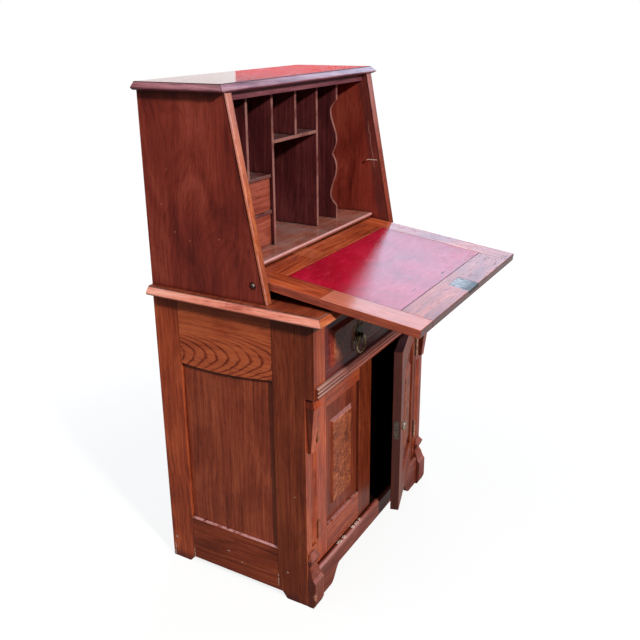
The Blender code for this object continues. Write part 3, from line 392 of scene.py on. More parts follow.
def moulded(node, face_tones, edge_tones, front_tones, seed, reach, gloss, face_gloss):
    """A top with a mitred moulding round its front and ends: the grain follows each edge."""
    g = Graph(node)
    point = g.place()
    x, y, _ = g.split(point)
    low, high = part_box(node)
    top, fibres, pores = wood_colour(g, point, "x", seed, TONES[face_tones], contrast=0.8)
    front, _, _ = wood_colour(g, point, "x", seed + 1, TONES[front_tones], contrast=1.3, mottle=0.9)
    end, _, _ = wood_colour(g, point, "y", seed + 2, TONES[edge_tones], contrast=1.3, mottle=0.9)
    from_end = g.minus(high.x, g.math("ABSOLUTE", x))
    from_front = g.minus(y, low.y)
    edge = g.mix(g.under(from_end, from_front), front, end)
    mitre = g.band(g.minus(from_end, from_front), 0.0, 0.0005, 0.0006)
    edge = g.tint(edge, GRIME_AND_SHADE, mitre, 0.6)
    on_face = g.product(g.over(from_end, reach), g.over(from_front, reach))
    colour = worn_edges(g, point, g.mix(on_face, edge, top), TONES[edge_tones][2], 0.5)
    inward = g.least(from_end, from_front)
    # Painted shadow: a dark line on the top face just inside the moulding, for the shade of a groove there;
    # the line is rougher as well
    quirk_shadow = g.product(g.band(inward, reach - 0.0005, 0.0014, 0.0008), g.facing(UP))
    colour = shade_and_grime(g, g.tint(colour, GRIME_AND_SHADE, quirk_shadow, 0.85))
    polish(g, point, colour, fibres, pores, gloss, 0.1)
    smoother = g.total((fibres, 0.05), face_gloss - 0.025)
    both = g.add("Mix", {0: on_face, 2: gloss, 3: smoother}, data_type="FLOAT").outputs[0]
    g.surface({"Roughness": g.most(both, g.product(quirk_shadow, 0.8))})


def burr(node, seed, field, along, own=None, dress=(), ground_tones="panel"):
    """Burr veneer on the raised field, in front of y = field: curls and eyes in mottled tones.

    The ground about the field is plain wood with its grain along the named axis.
    """
    g = Graph(node)
    point = g.place(own)
    shift = [random.Random(seed).uniform(-5, 5) for _ in range(3)]
    moved = g.vector("ADD", point, shift)
    curl = g.add("TexNoise", {"Vector": moved, "Scale": 17.0, "Detail": 3.0}).outputs["Color"]
    bent = g.vector("ADD", moved, g.vector("MULTIPLY", curl, (0.13, 0.13, 0.13)))
    swirl = g.noise(bent, 42.0, 5.0, 0.7, 1.6)
    fine = g.noise(bent, 210.0, 3.0, 0.6)
    cells = g.add("TexVoronoi", {"Vector": bent, "Scale": 34.0}).outputs["Distance"]
    value = g.total((swirl, 0.85), (fine, 0.3), -0.075)
    colour = g.ramp(value, tuple(zip((0.32, 0.47, 0.58, 0.74), BURR_TONES)))
    colour = g.tint(colour, scaled(BURR_TONES[0], 0.6), g.smooth(cells, 0.26, 0.05), 0.5)
    ground, fibres, pores = wood_colour(g, point, along, seed + 1, TONES[ground_tones])
    colour = g.mix(g.under(g.split(point)[1], field), ground, colour)
    colour = worn_and_shaded(g, point, colour, TONES["frame"][2], 0.6, dress)
    polish(g, point, colour, fibres, g.product(pores, 0.5), 0.3, 0.05, 0.16)


def framed(node, seed, panel, along_rail, shades, own=None, figure=None, dress=()):
    """A glued frame: upright stiles, with rails of crosswise grain between them and fine joint lines.

    panel is the two corners of the panel, whose edges are the frame's shoulder lines, and shades are how pale
    the first stile, the second stile, the bottom rail and the top rail are.
    """
    g = Graph(node)
    point = g.place(own)
    low, high = panel
    index = "xyz".index(along_rail)
    across, z = g.split(point)[index], g.split(point)[2]
    tones = [shaded(TONES["frame"], shade) for shade in shades]
    first, fibres, pores = wood_colour(g, point, "z", seed, tones[0])
    second, _, _ = wood_colour(g, point, "z", seed + 1, tones[1])
    bottom, _, rail_pores = wood_colour(g, point, along_rail, seed + 2, tones[2])
    top, _, _ = wood_colour(g, point, along_rail, seed + 3, tones[3], figure)
    rail = g.mix(g.over(z, (low.z + high.z) / 2), bottom, top)
    colour = g.mix(g.over(across, low[index]), first, rail)
    colour = g.mix(g.over(across, high[index]), colour, second)
    shoulder = g.math("ADD", *[g.band(across, corner[index], 0.0005, 0.0005) for corner in panel])
    outside = g.most(g.under(z, low.z), g.over(z, high.z))
    colour = g.tint(colour, GRIME_AND_SHADE, shoulder, outside, 0.7)
    colour = worn_and_shaded(g, point, colour, TONES["frame"][2], 0.4, dress)
    polish(g, point, colour, fibres, g.most(pores, rail_pores), 0.3, 0.1)


def back_board(node, seed, shade=1.0):
    """A back of upright boards: polished within, raw behind, with joints between the boards."""
    g = Graph(node)
    point = g.place()
    x, y, _ = g.split(point)
    low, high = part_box(node)
    front, fibres, pores = wood_colour(g, point, "z", seed, shaded(TONES["inner"], shade))
    behind, _, _ = wood_colour(g, point, "z", seed + 1, TONES["raw"], contrast=1.2)
    saw = g.math("FRACT", g.math("DIVIDE", g.minus(x, low.x), (high.x - low.x) / 4))
    colour = g.mix(g.over(y, (low.y + high.y) / 2), front, behind)
    colour = g.tint(colour, GRIME_AND_SHADE, g.band(saw, 0.5, 0.004, 0.004), 0.8)
    polish(g, point, shade_and_grime(g, colour), fibres, pores, 0.5, 0.0)


def leather(node, own):
    """Worn crimson writing leather: pebbled, scuffed and darkened at its border."""
    g = Graph(node)
    point = g.place(own)
    blotch = g.noise(point, 9.0, 4.0, 0.6, 0.5)
    fibre = g.noise(g.vector("MULTIPLY", point, (0.35, 1, 1)), 95.0, 4.0, 0.65)
    colour = g.ramp(blotch, ((0.3, srgb(160, 10, 36)), (0.52, srgb(188, 16, 48)), (0.72, srgb(200, 28, 62))))
    colour = g.tint(colour, srgb(138, 8, 32), g.smooth(fibre, 0.54, 0.76), 0.6)
    colour = g.tint(colour, srgb(214, 62, 88), g.smooth(fibre, 0.48, 0.3), 0.4)
    inside = g.inset(point, *in_own_axes(node, own))
    line = g.math("ADD", g.band(inside, 0.0135, 0.0006, 0.0005), g.band(inside, 0.0165, 0.0004, 0.0004))
    colour = g.tint(colour, srgb(96, 8, 22), line, 0.25)
    colour = g.tint(colour, srgb(70, 10, 20), g.smooth(inside, 0.005, 0.0), 0.7)
    scuffs = (
        ((0.034, -0.292, 0), (0.014, 0.004, 0.02)), ((0.010, -0.300, 0), (0.010, 0.003, 0.02)),
        ((-0.116, -0.284, 0), (0.016, 0.003, 0.02)), ((-0.060, -0.250, 0), (0.004, 0.008, 0.02)),
    )
    marks = g.most(*[g.spot(point, middle, size, 0.7, 120.0) for middle, size in scuffs])
    colour = g.tint(colour, srgb(96, 6, 26), marks, 0.7)
    pebble = g.add("TexVoronoi", {"Vector": point, "Scale": 900.0}).outputs["Distance"]
    relief = g.bump(g.total(fibre, pebble, (line, -0.4)), 0.18, 0.0005)
    rough = g.total((g.smooth(fibre, 0.42, 0.7), 0.1), (marks, 0.12), 0.1)
    g.surface({"Base Color": colour, "Roughness": rough, "Normal": relief, "Specular IOR Level": 0.42})
    g.wear()


def metal(name, bright, dull, roughness, seed, shine=1.0, dress=()):
    """Old cast metal, dull in its hollows and rubbed bright where it is handled."""
    g = Graph(name)
    point = g.place()
    moved = g.vector("SUBTRACT", point, (seed * 0.37, 0, 0))
    patch = g.noise(moved, 120.0, 4.0, 0.6)
    colour = shade_and_grime(g, g.ramp(patch, ((0.34, dull), (0.62, bright))), 0.7, 0.006)
    for add in dress:
        colour = add(g, point, colour)
    rough = g.math("MULTIPLY_ADD", patch, 0.2, roughness - 0.1)
    relief = g.bump(g.noise(moved, 900.0, 2.0, 0.5), 0.15, 0.0003)
    g.surface({"Base Color": colour, "Roughness": rough, "Normal": relief, "Metallic": shine})
    return g


def mark(make):
    """Lets make(g, point, colour, *details) take its details first, and the rest from a material."""
    def given(*details):
        return lambda g, point, colour: make(g, point, colour, *details)
    return given


@mark
def chips(g, point, colour, places, colour_of=BARE_CHIP, strength=0.9):
    """Ragged marks at given places, of bare wood unless another colour is named."""
    mask = g.most(*[g.spot(point, middle, size, 0.6, 320.0) for middle, size in places])
    broken = g.smooth(g.noise(point, 380.0, 3.0, 0.6), 0.44, 0.54)
    return g.tint(colour, colour_of, mask, broken, strength)


@mark
def chipped_edge(g, point, colour, height, runs):
    """Bare wood where a long arris at that height is knocked. runs are (middle, half) along x."""
    x, _, z = g.split(point)
    knocked = g.most(*[g.band(x, middle, half, 0.003) for middle, half in runs])
    bits = g.smooth(g.noise(point, 300.0, 3.0, 0.65), 0.44, 0.5)
    return g.tint(colour, BARE_CHIP, knocked, bits, g.band(z, height, 0.0012, 0.0008), 0.95)


@mark
def towards(g, point, colour, axis, start, end, colour_of, amount):
    """A tone that is full at start and gone at end, along one of the piece's own axes."""
    value = g.split(point)["XYZ".index(axis)]
    return g.tint(colour, colour_of, g.smooth(value, end, start), amount)


@mark
def fading(g, point, colour, other, axis, start, end):
    """Another mark that is full at start and gone at end, along one of the piece's own axes."""
    value = g.split(point)["XYZ".index(axis)]
    return g.mix(g.smooth(value, end, start), colour, other(g, point, colour))


@mark
def stained(g, point, colour, axis, limit, side, colour_of, amount):
    """Another tone on the part of a piece past a limit on one of its own axes. side is 1 or -1."""
    value = g.split(point)["XYZ".index(axis)]
    past = g.over(value, limit) if side > 0 else g.under(value, limit)
    return g.tint(colour, colour_of, past, amount)


@mark
def dusty(g, point, colour, amount):
    """Grey dust that lies on a level board."""
    patch = g.smooth(g.noise(point, 11.0, 4.0, 0.6), 0.36, 0.68)
    return g.tint(colour, GREY_DUST, patch, g.facing(UP), amount)


@mark
def front_edge_highlight(g, point, colour, amount):
    """A painted highlight on the faces that look to the front, broken up unevenly."""
    uneven = g.smooth(g.noise(point, 26.0, 4.0, 0.6), 0.25, 0.6)
    return g.tint(colour, PALE_HIGHLIGHT_AND_GLUE, g.facing(FRONT), uneven, amount)


@mark
def on_faces(g, point, colour, direction, colour_of, amount, spread=0.12):
    """Another tone on the faces that look one way."""
    uneven = g.total((g.noise(point, 34.0, 4.0, 0.6), 0.8), 0.5)
    return g.tint(colour, colour_of, g.facing(direction, spread), uneven, amount)


@mark
def ledge_sheen(g, point, colour, axis, low, high, amount):
    """Painted sheen along the upper edge of a bottom rail, below its panel, broken up unevenly. axis is the
    rail's own.
    """
    index = "XYZ".index(axis)
    across, z = g.split(point)[index], g.split(point)[2]
    within = g.product(g.over(across, low[index]), g.under(across, high[index]))
    broken = g.smooth(g.noise(point, 70.0, 3.0, 0.6), 0.3, 0.55)
    return g.tint(colour, PINK_SHEEN, g.band(z, low.z, 0.0008, 0.0007), within, broken, amount)


def behind_front(g, point, node):
    """How far in y a point lies behind a board's sloping front edge."""
    points = [vertex.co for vertex in nodes[node].data.vertices]
    low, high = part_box(node)
    foot = min(p.y for p in points if p.z < low.z + 0.001)
    head = min(p.y for p in points if p.z > high.z - 0.001)
    slope = (head - foot) / (high.z - low.z)
    _, y, z = g.split(point)
    return g.total(y, (z, -slope), slope * low.z - foot)


@mark
def arris_sheen(g, point, colour, node):
    """Painted sheen along the outer arris of a lipping, broken up unevenly."""
    side = g.minus(g.split(point)[0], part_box(node)[0].x)
    back = behind_front(g, point, node)
    near = g.product(g.smooth(back, 0.0034, 0.0022), g.smooth(side, 0.0034, 0.0022))
    broken = g.smooth(g.noise(point, 60.0, 3.0, 0.6), 0.34, 0.5)
    return g.tint(colour, PINK_SHEEN, near, broken, 0.7)


@mark
def joint_by_lipping(g, point, colour, side):
    """The dark joint beside the lipping; on the right also the old stain, glue and scuff within the case."""
    x, y, z = g.split(point)
    back = behind_front(g, point, f"upper_side_{side}")
    colour = g.tint(colour, GRIME_AND_SHADE, g.smooth(back, 0.0034, 0.0018), 0.85)
    if side == "left":
        return colour
    ragged = g.total((g.noise(point, 40.0, 3.0), 0.012), back)
    within = g.under(x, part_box("upper_side_right")[1].x - 0.012)
    colour = g.tint(colour, srgb(86, 44, 42), g.smooth(ragged, 0.042, 0.030), within, 0.6)
    glue = g.product(g.band(ragged, 0.024, 0.0004, 0.0006), g.band(z, 1.0, 0.05, 0.02))
    colour = g.tint(colour, PALE_HIGHLIGHT_AND_GLUE, glue, within, 0.6)
    scuff = g.product(g.band(z, 0.9595, 0.0005, 0.0008), g.band(y, 0.078, 0.013, 0.003))
    return g.tint(colour, BARE_CHIP, scuff, within, 0.8)


@mark
def dovetails(g, point, colour, low, pitch):
    """The front's end grain between the tails of a drawer side."""
    _, y, z = g.split(point)
    back = g.minus(y, low.y)
    saw = g.math("FRACT", g.math("DIVIDE", g.minus(z, low.z), pitch))
    flare = g.total((back, 8.0), g.math("ABSOLUTE", g.minus(saw, 0.5)))
    on_side = g.most(g.facing(RIGHT), g.facing(LEFT))
    tails = g.smooth(flare, 0.38, 0.40)
    colour = g.tint(colour, TONES["panel"][1], tails, g.under(back, 0.012), on_side, 0.75)
    outline = g.most(g.band(flare, 0.39, 0.012, 0.02), g.band(back, 0.012, 0.0003, 0.0003))
    return g.tint(colour, GRIME_AND_SHADE, outline, g.under(back, 0.0127), on_side, 0.6)


@mark
def let_in(g, point, colour, low, high, colour_of, amount):
    """A piece let into the top face between two corners (x, y) of a board's own axes, with a fine joint."""
    inside = g.inset(point, low, high)
    above = g.facing(UP)
    colour = g.tint(colour, colour_of, g.over(inside, 0.0), above, amount)
    return g.tint(colour, GRIME_AND_SHADE, g.band(inside, 0.0, 0.0003, 0.0005), above, 0.6)


def dress_boards():
    """The plain boards: long axis, tones, gloss and shade."""
    plain = {
        "top_rail": ("x", "edge", 0.32, 0.8),
        "drawer_rail": ("x", "panel", 0.28, 1.0),
        "corbel_left": ("z", "frame", 0.32, 1.3),
        "corbel_right": ("z", "frame", 0.32, 1.0),
        "foot_block_left": ("z", "plinth", 0.32, 1.0),
        "foot_block_right": ("z", "plinth", 0.32, 1.2),
        "lipping_left": ("z", "lip", 0.3, 1.0),
        "lipping_right": ("z", "plinth", 0.3, 1.25),
        "post_left": ("z", "frame", 0.32, 1.02),
        "post_right": ("z", "frame", 0.32, 0.9),
        "lower_small_drawer_front": ("x", "plinth", 0.34, 1.3),
        "upper_small_drawer_front": ("x", "plinth", 0.34, 1.3),
    }
    left_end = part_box("drawer_rail")[0].x
    worn_reeds = fading(on_faces(CHAMFER, BARE_CHIP, 0.3, 0.3), "X", left_end, left_end + 0.16)
    low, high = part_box("lipping_left")
    darker_foot = towards("Z", low.z + 0.03, low.z + 0.25, srgb(120, 44, 26), 0.6)
    pale_head = towards("Z", high.z, high.z - 0.25, srgb(200, 157, 161), 0.36)
    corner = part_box("foot_block_left")[0]
    knocks = ((corner + Vector((0, 0, 0.034)), (0.006, 0.006, 0.013)), (corner, (0.007, 0.007, 0.011)))
    marks = {
        # Corbels: painted shade on their left faces, painted sheen on their caps
        "corbel": (on_faces(LEFT, srgb(58, 16, 11), 0.8, 0.3),
                   on_faces((0, -0.3, 0.95), PINK_SHEEN, 0.5, 0.3)),
        # Foot blocks: painted shade on their left faces, painted sheen on their caps, and chips
        "foot_block": (on_faces(LEFT, srgb(66, 24, 18), 0.5), on_faces(CHAMFER, PINK_SHEEN, 0.45),
                       chips(knocks, srgb(232, 160, 130), 0.9)),
        "lipping": (darker_foot, pale_head, arris_sheen("lipping_left")),
        # Posts: painted shade on their left faces
        "post": (on_faces(LEFT, srgb(76, 30, 18), 0.6, 0.3),),
        # Drawer rail: painted sheen along the reeds, and pale wear at its left end
        "drawer": (on_faces(CHAMFER, PINK_SHEEN, 0.28, 0.35), worn_reeds),
    }
    for number, (node, (along, tones, gloss, shade)) in enumerate(plain.items()):
        dress = marks.get(node.rsplit("_", 1)[0], ())
        wood(node, along, tones, 40 + number, gloss=gloss, shade=shade, dress=dress)
    # Painted sheen on the plinth's bevel, stronger towards its left end
    sheen = on_faces(CHAMFER, PINK_SHEEN, 0.12)
    brighter = fading(on_faces(CHAMFER, PINK_SHEEN, 0.4), "X", -0.15, 0.02)
    runs = ((-0.180, 0.008), (-0.156, 0.004), (-0.107, 0.004), (-0.088, 0.006), (-0.070, 0.003))
    chipped = chipped_edge(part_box("plinth")[1].z, runs)
    wood("plinth", "x", "plinth", 60, dress=(sheen, brighter, chipped))


def dress_case():
    """The upper case: sides, tops, back, and what stands inside. Also the back and boards of the base."""
    specks = ((0.2855, 0.9411), (0.131, 0.8786), (0.2106, 0.8662), (0.2513, 0.8816), (0.262, 1.02),
              (0.17, 1.11))
    swirls = ((0.21, 1.10, 0.05, 0.05), (0.19, 0.86, 0.035, -0.04), (0.25, 0.98, 0.03, 0.02))
    for number, side in enumerate(("left", "right")):
        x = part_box(f"upper_side_{side}")[number].x
        dots = chips([((x, y, z), (0.004, 0.0016, 0.0016)) for y, z in specks], srgb(222, 150, 112), 0.7)
        wood(f"upper_side_{side}", "z", "case", 64 + number, contrast=0.55, mottle=0.75, knots=swirls,
             dress=(dots, joint_by_lipping(side)))
    moulded("top_board", "top", "edge", "sky_sheen", 70, TOP_MOULDING, gloss=0.3, face_gloss=0.05)
    moulded("base_top", "panel", "salmon", "lip", 74, BASE_MOULDING, gloss=0.42, face_gloss=0.3)
    pale, faint = front_edge_highlight(0.45), front_edge_highlight(0.2)
    for number, divider in enumerate(("far_left", "left", "centre", "right", "scalloped")):
        wood(f"divider_{divider}", "z", "inner", 80 + number, gloss=0.4, coat=0.0, dress=(pale,))
    for number, node in enumerate(("centre_shelf", "drawer_shelf", "drawer_parting")):
        edge = pale if node == "centre_shelf" else faint
        wood(node, "x", "inner", 90 + number, gloss=0.4, coat=0.0, dress=(edge, dusty(0.4)))
    # Painted reflection: the nosing's sloping upper face is paled pink
    nosing = on_faces((0, -0.7, 0.7), PINK_SHEEN, 0.8)
    wood("interior_floor", "x", "floor", 94, gloss=0.24, dress=(dusty(0.6), nosing))
    back_board("upper_back", 96)
    # Painted shade: the base back's inner face, the dust board and the base floor are darkened nearly to
    # black, for the dark within the cupboard
    back_board("base_back", 97, 0.15)
    for number, node in enumerate(("dust_board", "base_floor")):
        wood(node, "x", "inner", 98 + number, gloss=0.5, coat=0.0, shade=0.12)
    for number, node in enumerate(("drawer_box", "lower_small_drawer_box", "upper_small_drawer_box")):
        joints_of = dovetails(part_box(node)[0], 0.033 if node == "drawer_box" else 0.022)
        wood(node, "y", "drawer", 102 + number, gloss=0.6, coat=0.0, dress=(joints_of,))


def dress_base_sides():
    """Side frames and panels of the base, with the chips and scratches that the left one shows."""
    marks = (
        ((0.3176, 0.0595), (0.003, 0.004)), ((0.3254, 0.0098), (0.004, 0.008)),
        ((0.3230, 0.0300), (0.0016, 0.012)), ((0.1503, 0.0763), (0.005, 0.0014)),
        ((0.1118, 0.0564), (0.003, 0.002)), ((-0.0223, 0.0773), (0.003, 0.003)),
        ((-0.0552, 0.0043), (0.0014, 0.010)), ((-0.0804, 0.0149), (0.0014, 0.010)),
        ((-0.0476, 0.2945), (0.002, 0.002)),
    )
    for outer, (side, seed, inward) in enumerate((("left", 11, 1), ("right", 17, -1))):
        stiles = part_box(f"side_frame_{side}")
        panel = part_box(f"side_panel_{side}")
        low, high = panel
        x = stiles[outer].x
        joint_lines = ((low.y, 0.047), (high.y, 0.028))
        places = [((x, y, z), (0.004, 0.0012, 0.022)) for y, z in joint_lines]
        places += [((x, y, z), (0.004, *size)) for (y, z), size in marks]
        # Painted shade: the faces of side frame and panel within the cupboard are nearly black
        dark_stiles, dark_panel = [stained("X", box[1 - outer].x - inward * SKIN, inward, CUPBOARD_SHADE, 0.9)
                                   for box in (stiles, panel)]
        damp_feet = towards("Z", 0.006, 0.03, DAMP, 0.6)
        dress = (damp_feet, chips(places), ledge_sheen("Y", low, high, 0.7), dark_stiles)
        figure = (low.y + 0.015, high.z + 0.046, -0.14, 40.0, 32.0)
        framed(f"side_frame_{side}", seed, panel, "y", (0.62, 1.22, 0.82, 1.05), figure=figure, dress=dress)
        wood(f"side_panel_{side}", "z", "panel", seed + 5, contrast=1.1, shade=1.25, dress=(dark_panel,))


def dress_doors():
    """Door frames and their panels, each in its own axes from the hinge."""
    doors = (
        ("left", LEFT_DOOR, 23, (1.3, 0.56, 1.1, 1.02)),
        ("right", RIGHT_DOOR, 29, (0.8, 0.7, 0.9, 0.8)),
    )
    for side, own, seed, shades in doors:
        panel = in_own_axes(f"{side}_door_panel", own)
        low, high = in_own_axes(f"{side}_door_frame", own)
        free_side = 1 if side == "left" else -1
        free_edge = high.x - SKIN if side == "left" else low.x + SKIN
        # Painted shade: each door's free edge and top face are darkened
        dress = [stained("X", free_edge, free_side, srgb(54, 20, 17), 0.85),
                 stained("Z", high.z - SKIN, 1, srgb(40, 20, 27), 0.95)]
        if side == "left":
            dress.append(ledge_sheen("X", *panel, 0.45))
        framed(f"{side}_door_frame", seed, panel, "x", shades, own, dress=dress)
        # Painted sheen on the upward bevels of the raised field
        sheen = on_faces(CHAMFER, PINK_SHEEN, 0.7)
        burr(f"{side}_door_panel", seed + 3, panel[0].y + FIELD_EDGE, "z", own, (sheen,))


def dress_fall():
    """The fall in its own axes from the pivot."""
    front = in_own_axes("fall_front_rail", FALL)[0].y
    left = in_own_axes("fall_stile_left", FALL)[0].x
    # Painted shade: the faces at the fall's front edge are darkened
    dark_edge = stained("Y", front + SKIN, -1, srgb(74, 34, 34), 0.85)
    knot = chips((((left, -0.147, 0), (0.004, 0.007, 0.003)),), srgb(46, 16, 10), 0.8)
    pieced = let_in((-9, -9), (9, -0.152), srgb(224, 138, 114), 0.5)
    # The back rail's lighter patch with a fine joint round it: the lighter tone is a painted reflection of
    # light
    patch = let_in((-0.110, -0.0236), (-0.048, 0.060), srgb(206, 112, 70), 0.35)
    # Painted light: the left stile's outer face is paled towards mauve
    outer = on_faces(LEFT, srgb(170, 96, 84), 0.35)
    boards = (
        ("stile_left", "y", 1.25, 1.2, (pieced, knot, outer, dark_edge)),
        ("stile_right", "y", 0.9, 1.4, (dark_edge,)),
        ("front_rail", "x", 0.75, 1.15, (dark_edge,)),
        ("back_rail", "x", 1.25, 1.1, (patch,)),
    )
    for number, (board, along, contrast, shade, dress) in enumerate(boards):
        wood(f"fall_{board}", along, "frame", 120 + number, FALL, 0.16, contrast, dress=dress, shade=shade)
    wood("fall_panel", "x", "case", 130, FALL, 0.32)
    leather("writing_leather", FALL)


def dress_long_drawer():
    """The long drawer's front, its front faces darkened towards purple: partly the wood's own tone, partly
    painted shade.
    """
    dark = on_faces(FRONT, srgb(44, 10, 28), 0.5)
    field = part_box("drawer_front")[0].y + FIELD_EDGE
    burr("drawer_front", 71, field, "x", dress=(dark,), ground_tones="case")


def dress_metal():
    """Brass and steel fittings."""
    hinges = {"left": (srgb(184, 112, 82), srgb(146, 82, 58)),
              "right": (srgb(196, 150, 128), srgb(126, 84, 66))}
    for number, side in enumerate(("left", "right")):
        metal(f"pull_plate_{side}", srgb(92, 84, 58), srgb(34, 34, 28), 0.45, number).wear()
        metal(f"pull_ring_{side}", srgb(214, 196, 140), srgb(120, 106, 70), 0.35, number + 2, 0.5).wear()
        for level in ("lower", "upper"):
            metal(f"{side}_door_{level}_hinge", *hinges[side], 0.5, number + 4, 0.2).wear()
        metal(f"pivot_screw_{side}", srgb(206, 194, 180), srgb(84, 70, 62), 0.22, number + 8).wear()
    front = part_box("fall_lock")[0].y
    # The lock plate is darker towards the fall's front edge
    darker_to_front = towards("Y", front + 0.004, front + 0.034, srgb(48, 50, 48), 0.75)
    metal("fall_lock", srgb(190, 176, 170), srgb(116, 108, 106), 0.42, 12, 0.7, (darker_to_front,)).wear()
    metal("right_door_lock", srgb(112, 94, 86), srgb(62, 52, 47), 0.5, 13, 0.5).wear()


def face(origin, across, up):
    """A matrix whose x runs across a surface, y up it and z out of it."""
    across, up = Vector(across).normalized(), Vector(up).normalized()
    turn = Matrix((across, up, across.cross(up))).transposed()
    return Matrix.Translation(origin) @ turn.to_4x4()


def finish_piece(name, bm, body, look):
    """Turns a mesh into a piece that rides on a body."""
    bmesh.ops.recalc_face_normals(bm, faces=bm.faces)
    mesh = bpy.data.meshes.new(name)
    bm.to_mesh(mesh)
    bm.free()
    mesh.materials.append(look.owner)
    piece = bpy.data.objects.new(name, mesh)
    bpy.context.scene.collection.objects.link(piece)
    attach(piece, body)


def loft(bm, rings, place, joined=False):
    """A skin over rings of points. The last ring joins the first, or else both ends are flat."""
    made = [[bm.verts.new(place @ Vector(p)) for p in ring] for ring in rings]
    count = len(made[0])
    following = made[1:] + made[:1] if joined else made[1:]
    for lower, upper in zip(made, following):
        for i in range(count):
            j = (i + 1) % count
            bm.faces.new((lower[i], lower[j], upper[j], upper[i]))
    if not joined:
        bm.faces.new(made[0][::-1])
        bm.faces.new(made[-1])


def arc(radius, start, end, steps):
    """Points on a circle about the origin, angles in radians."""
    angles = [start + (end - start) * i / steps for i in range(steps + 1)]
    return [(radius * math.cos(a), radius * math.sin(a)) for a in angles]


def screw_head(bm, place, radius, height):
    """A slotted screw head: a bevelled disc with two raised halves."""
    slot = 0.2                # half the slot's width, to the radius
    disc = arc(radius, 0, 2 * math.pi, 20)[:-1]
    floor = height * 0.45
    loft(bm, [[(x, y, z) for x, y in disc] for z in (SUNK, floor)], place)
    cut = math.asin(slot)
    for turn in (0, math.pi):
        half = arc(radius, turn + cut, turn + math.pi - cut, 9)
        inner = [(0.8 * x, 0.8 * y if abs(y) > 1.3 * slot * radius else y) for x, y in half]
        loft(bm, [[(x, y, floor) for x, y in half], [(x, y, height) for x, y in inner]], place)


def nail_head(bm, place, radius, rise):
    """A low domed nail head."""
    rings = []
    for share, z in ((1.0, SUNK), (1.0, 0.25 * rise), (0.8, 0.75 * rise), (0.35, rise)):
        rings.append([(x, y, z) for x, y in arc(radius * share, 0, 2 * math.pi, 10)[:-1]])
    loft(bm, rings, place)


def volute(bm, place, start, turns, reach, thickness, hand):
    """A cast scroll that winds out from an eye and thins towards its tail."""
    steps, sides, eye, lift = 26, 6, 0.0012, 0.0006
    rings = []
    for i in range(steps + 1):
        t = i / steps
        angle = start + hand * turns * 2 * math.pi * t
        radius = eye + (reach - eye) * t ** 0.9
        out = Vector((math.cos(angle), math.sin(angle), 0))
        middle = out * radius + Vector((0, 0, lift))
        wide = thickness * (1.15 - 0.55 * t)
        section = arc(wide, 0, 2 * math.pi, sides)[:-1]
        rings.append([middle + out * x + Vector((0, 0, 0.9 * z)) for x, z in section])
    loft(bm, rings, place)


def build_pull_scrolls():
    """Pierced scrolls of the two drawer plates."""
    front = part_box("drawer_front")[0].y
    for number, side in enumerate(("left", "right")):
        low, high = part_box(f"pull_plate_{side}")
        middle = ((low.x + high.x) / 2, front, (low.z + high.z) / 2)
        half_x, half_z = (high.x - low.x) / 2, (high.z - low.z) / 2
        place = face(middle, RIGHT, UP)
        bm = bmesh.new()
        for across in (-1, 1):
            for up in (-1, 1):
                eye = place @ Matrix.Translation((across * (half_x + 0.002), up * half_z * 0.62, 0))
                volute(bm, eye, up * math.pi / 2, turns=1.2, reach=0.0075, thickness=0.0011, hand=across * up)
            crown = place @ Matrix.Translation((0, across * (half_z + 0.003), 0))
            volute(bm, crown, 0, turns=1.4, reach=0.0055, thickness=0.0010, hand=across)
        brass = metal(f"pull_scrolls_{side}", srgb(200, 180, 116), srgb(112, 100, 62), 0.4, 20 + number, 0.4)
        finish_piece(f"pull_scrolls_{side}", bm, "long_drawer", brass)


def build_screws():
    """Screws of the two locks, and the nails of the backs."""
    steel = metal("lock_screws", srgb(150, 148, 150), srgb(70, 66, 64), 0.4, 25)
    low, high = in_own_axes("fall_lock", FALL)
    bm = bmesh.new()
    for x in (-0.8, 0.8):
        for y in (0.22, 0.78):
            spot = Vector((x * high.x, low.y + y * (high.y - low.y), high.z))
            place = FALL @ face(spot, (1, 0.4 * x, 0), (-0.4 * x, 1, 0))
            screw_head(bm, place, radius=0.0026, height=0.0005)
    finish_piece("fall_lock_screws", bm, "fall", steel)
    low, high = in_own_axes("right_door_lock", RIGHT_DOOR)
    bm = bmesh.new()
    for share in (0.14, 0.86):
        spot = Vector((low.x, (low.y + high.y) / 2, low.z + share * (high.z - low.z)))
        place = RIGHT_DOOR @ face(spot, (0, -1, 0.3), (0, 0.3, 1))
        screw_head(bm, place, radius=0.0024, height=0.0005)
    finish_piece("door_lock_screws", bm, "right_door", steel)
    bm = bmesh.new()
    for node, rows in (("upper_back", 5), ("base_back", 7)):
        low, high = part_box(node)
        levels = [low.z + 0.02 + (high.z - low.z - 0.04) * i / (rows - 1) for i in range(rows)]
        columns = [low.x + (high.x - low.x) * i / 8 for i in range(1, 8)]
        nails = [(x, z) for z in levels for x in (low.x + 0.008, high.x - 0.008)]
        nails += [(x, z) for x in columns for z in (low.z + 0.012, high.z - 0.012)]
        for x, z in nails:
            nail_head(bm, face((x, high.y, z), LEFT, UP), radius=0.0024, rise=0.0007)
    rusty = metal("back_nails", srgb(96, 78, 66), srgb(48, 36, 30), 0.6, 26, 0.7)
    finish_piece("back_nails", bm, "case", rusty)


def keyhole(angle):
    """The keyhole's edge in a direction from the middle of its bow."""
    bow, half_slot, drop = 0.0017, 0.0009, 0.0052
    if math.sin(angle) > -0.2:
        return bow
    return max(bow, min(half_slot / max(abs(math.cos(angle)), 1e-6), drop / -math.sin(angle)))


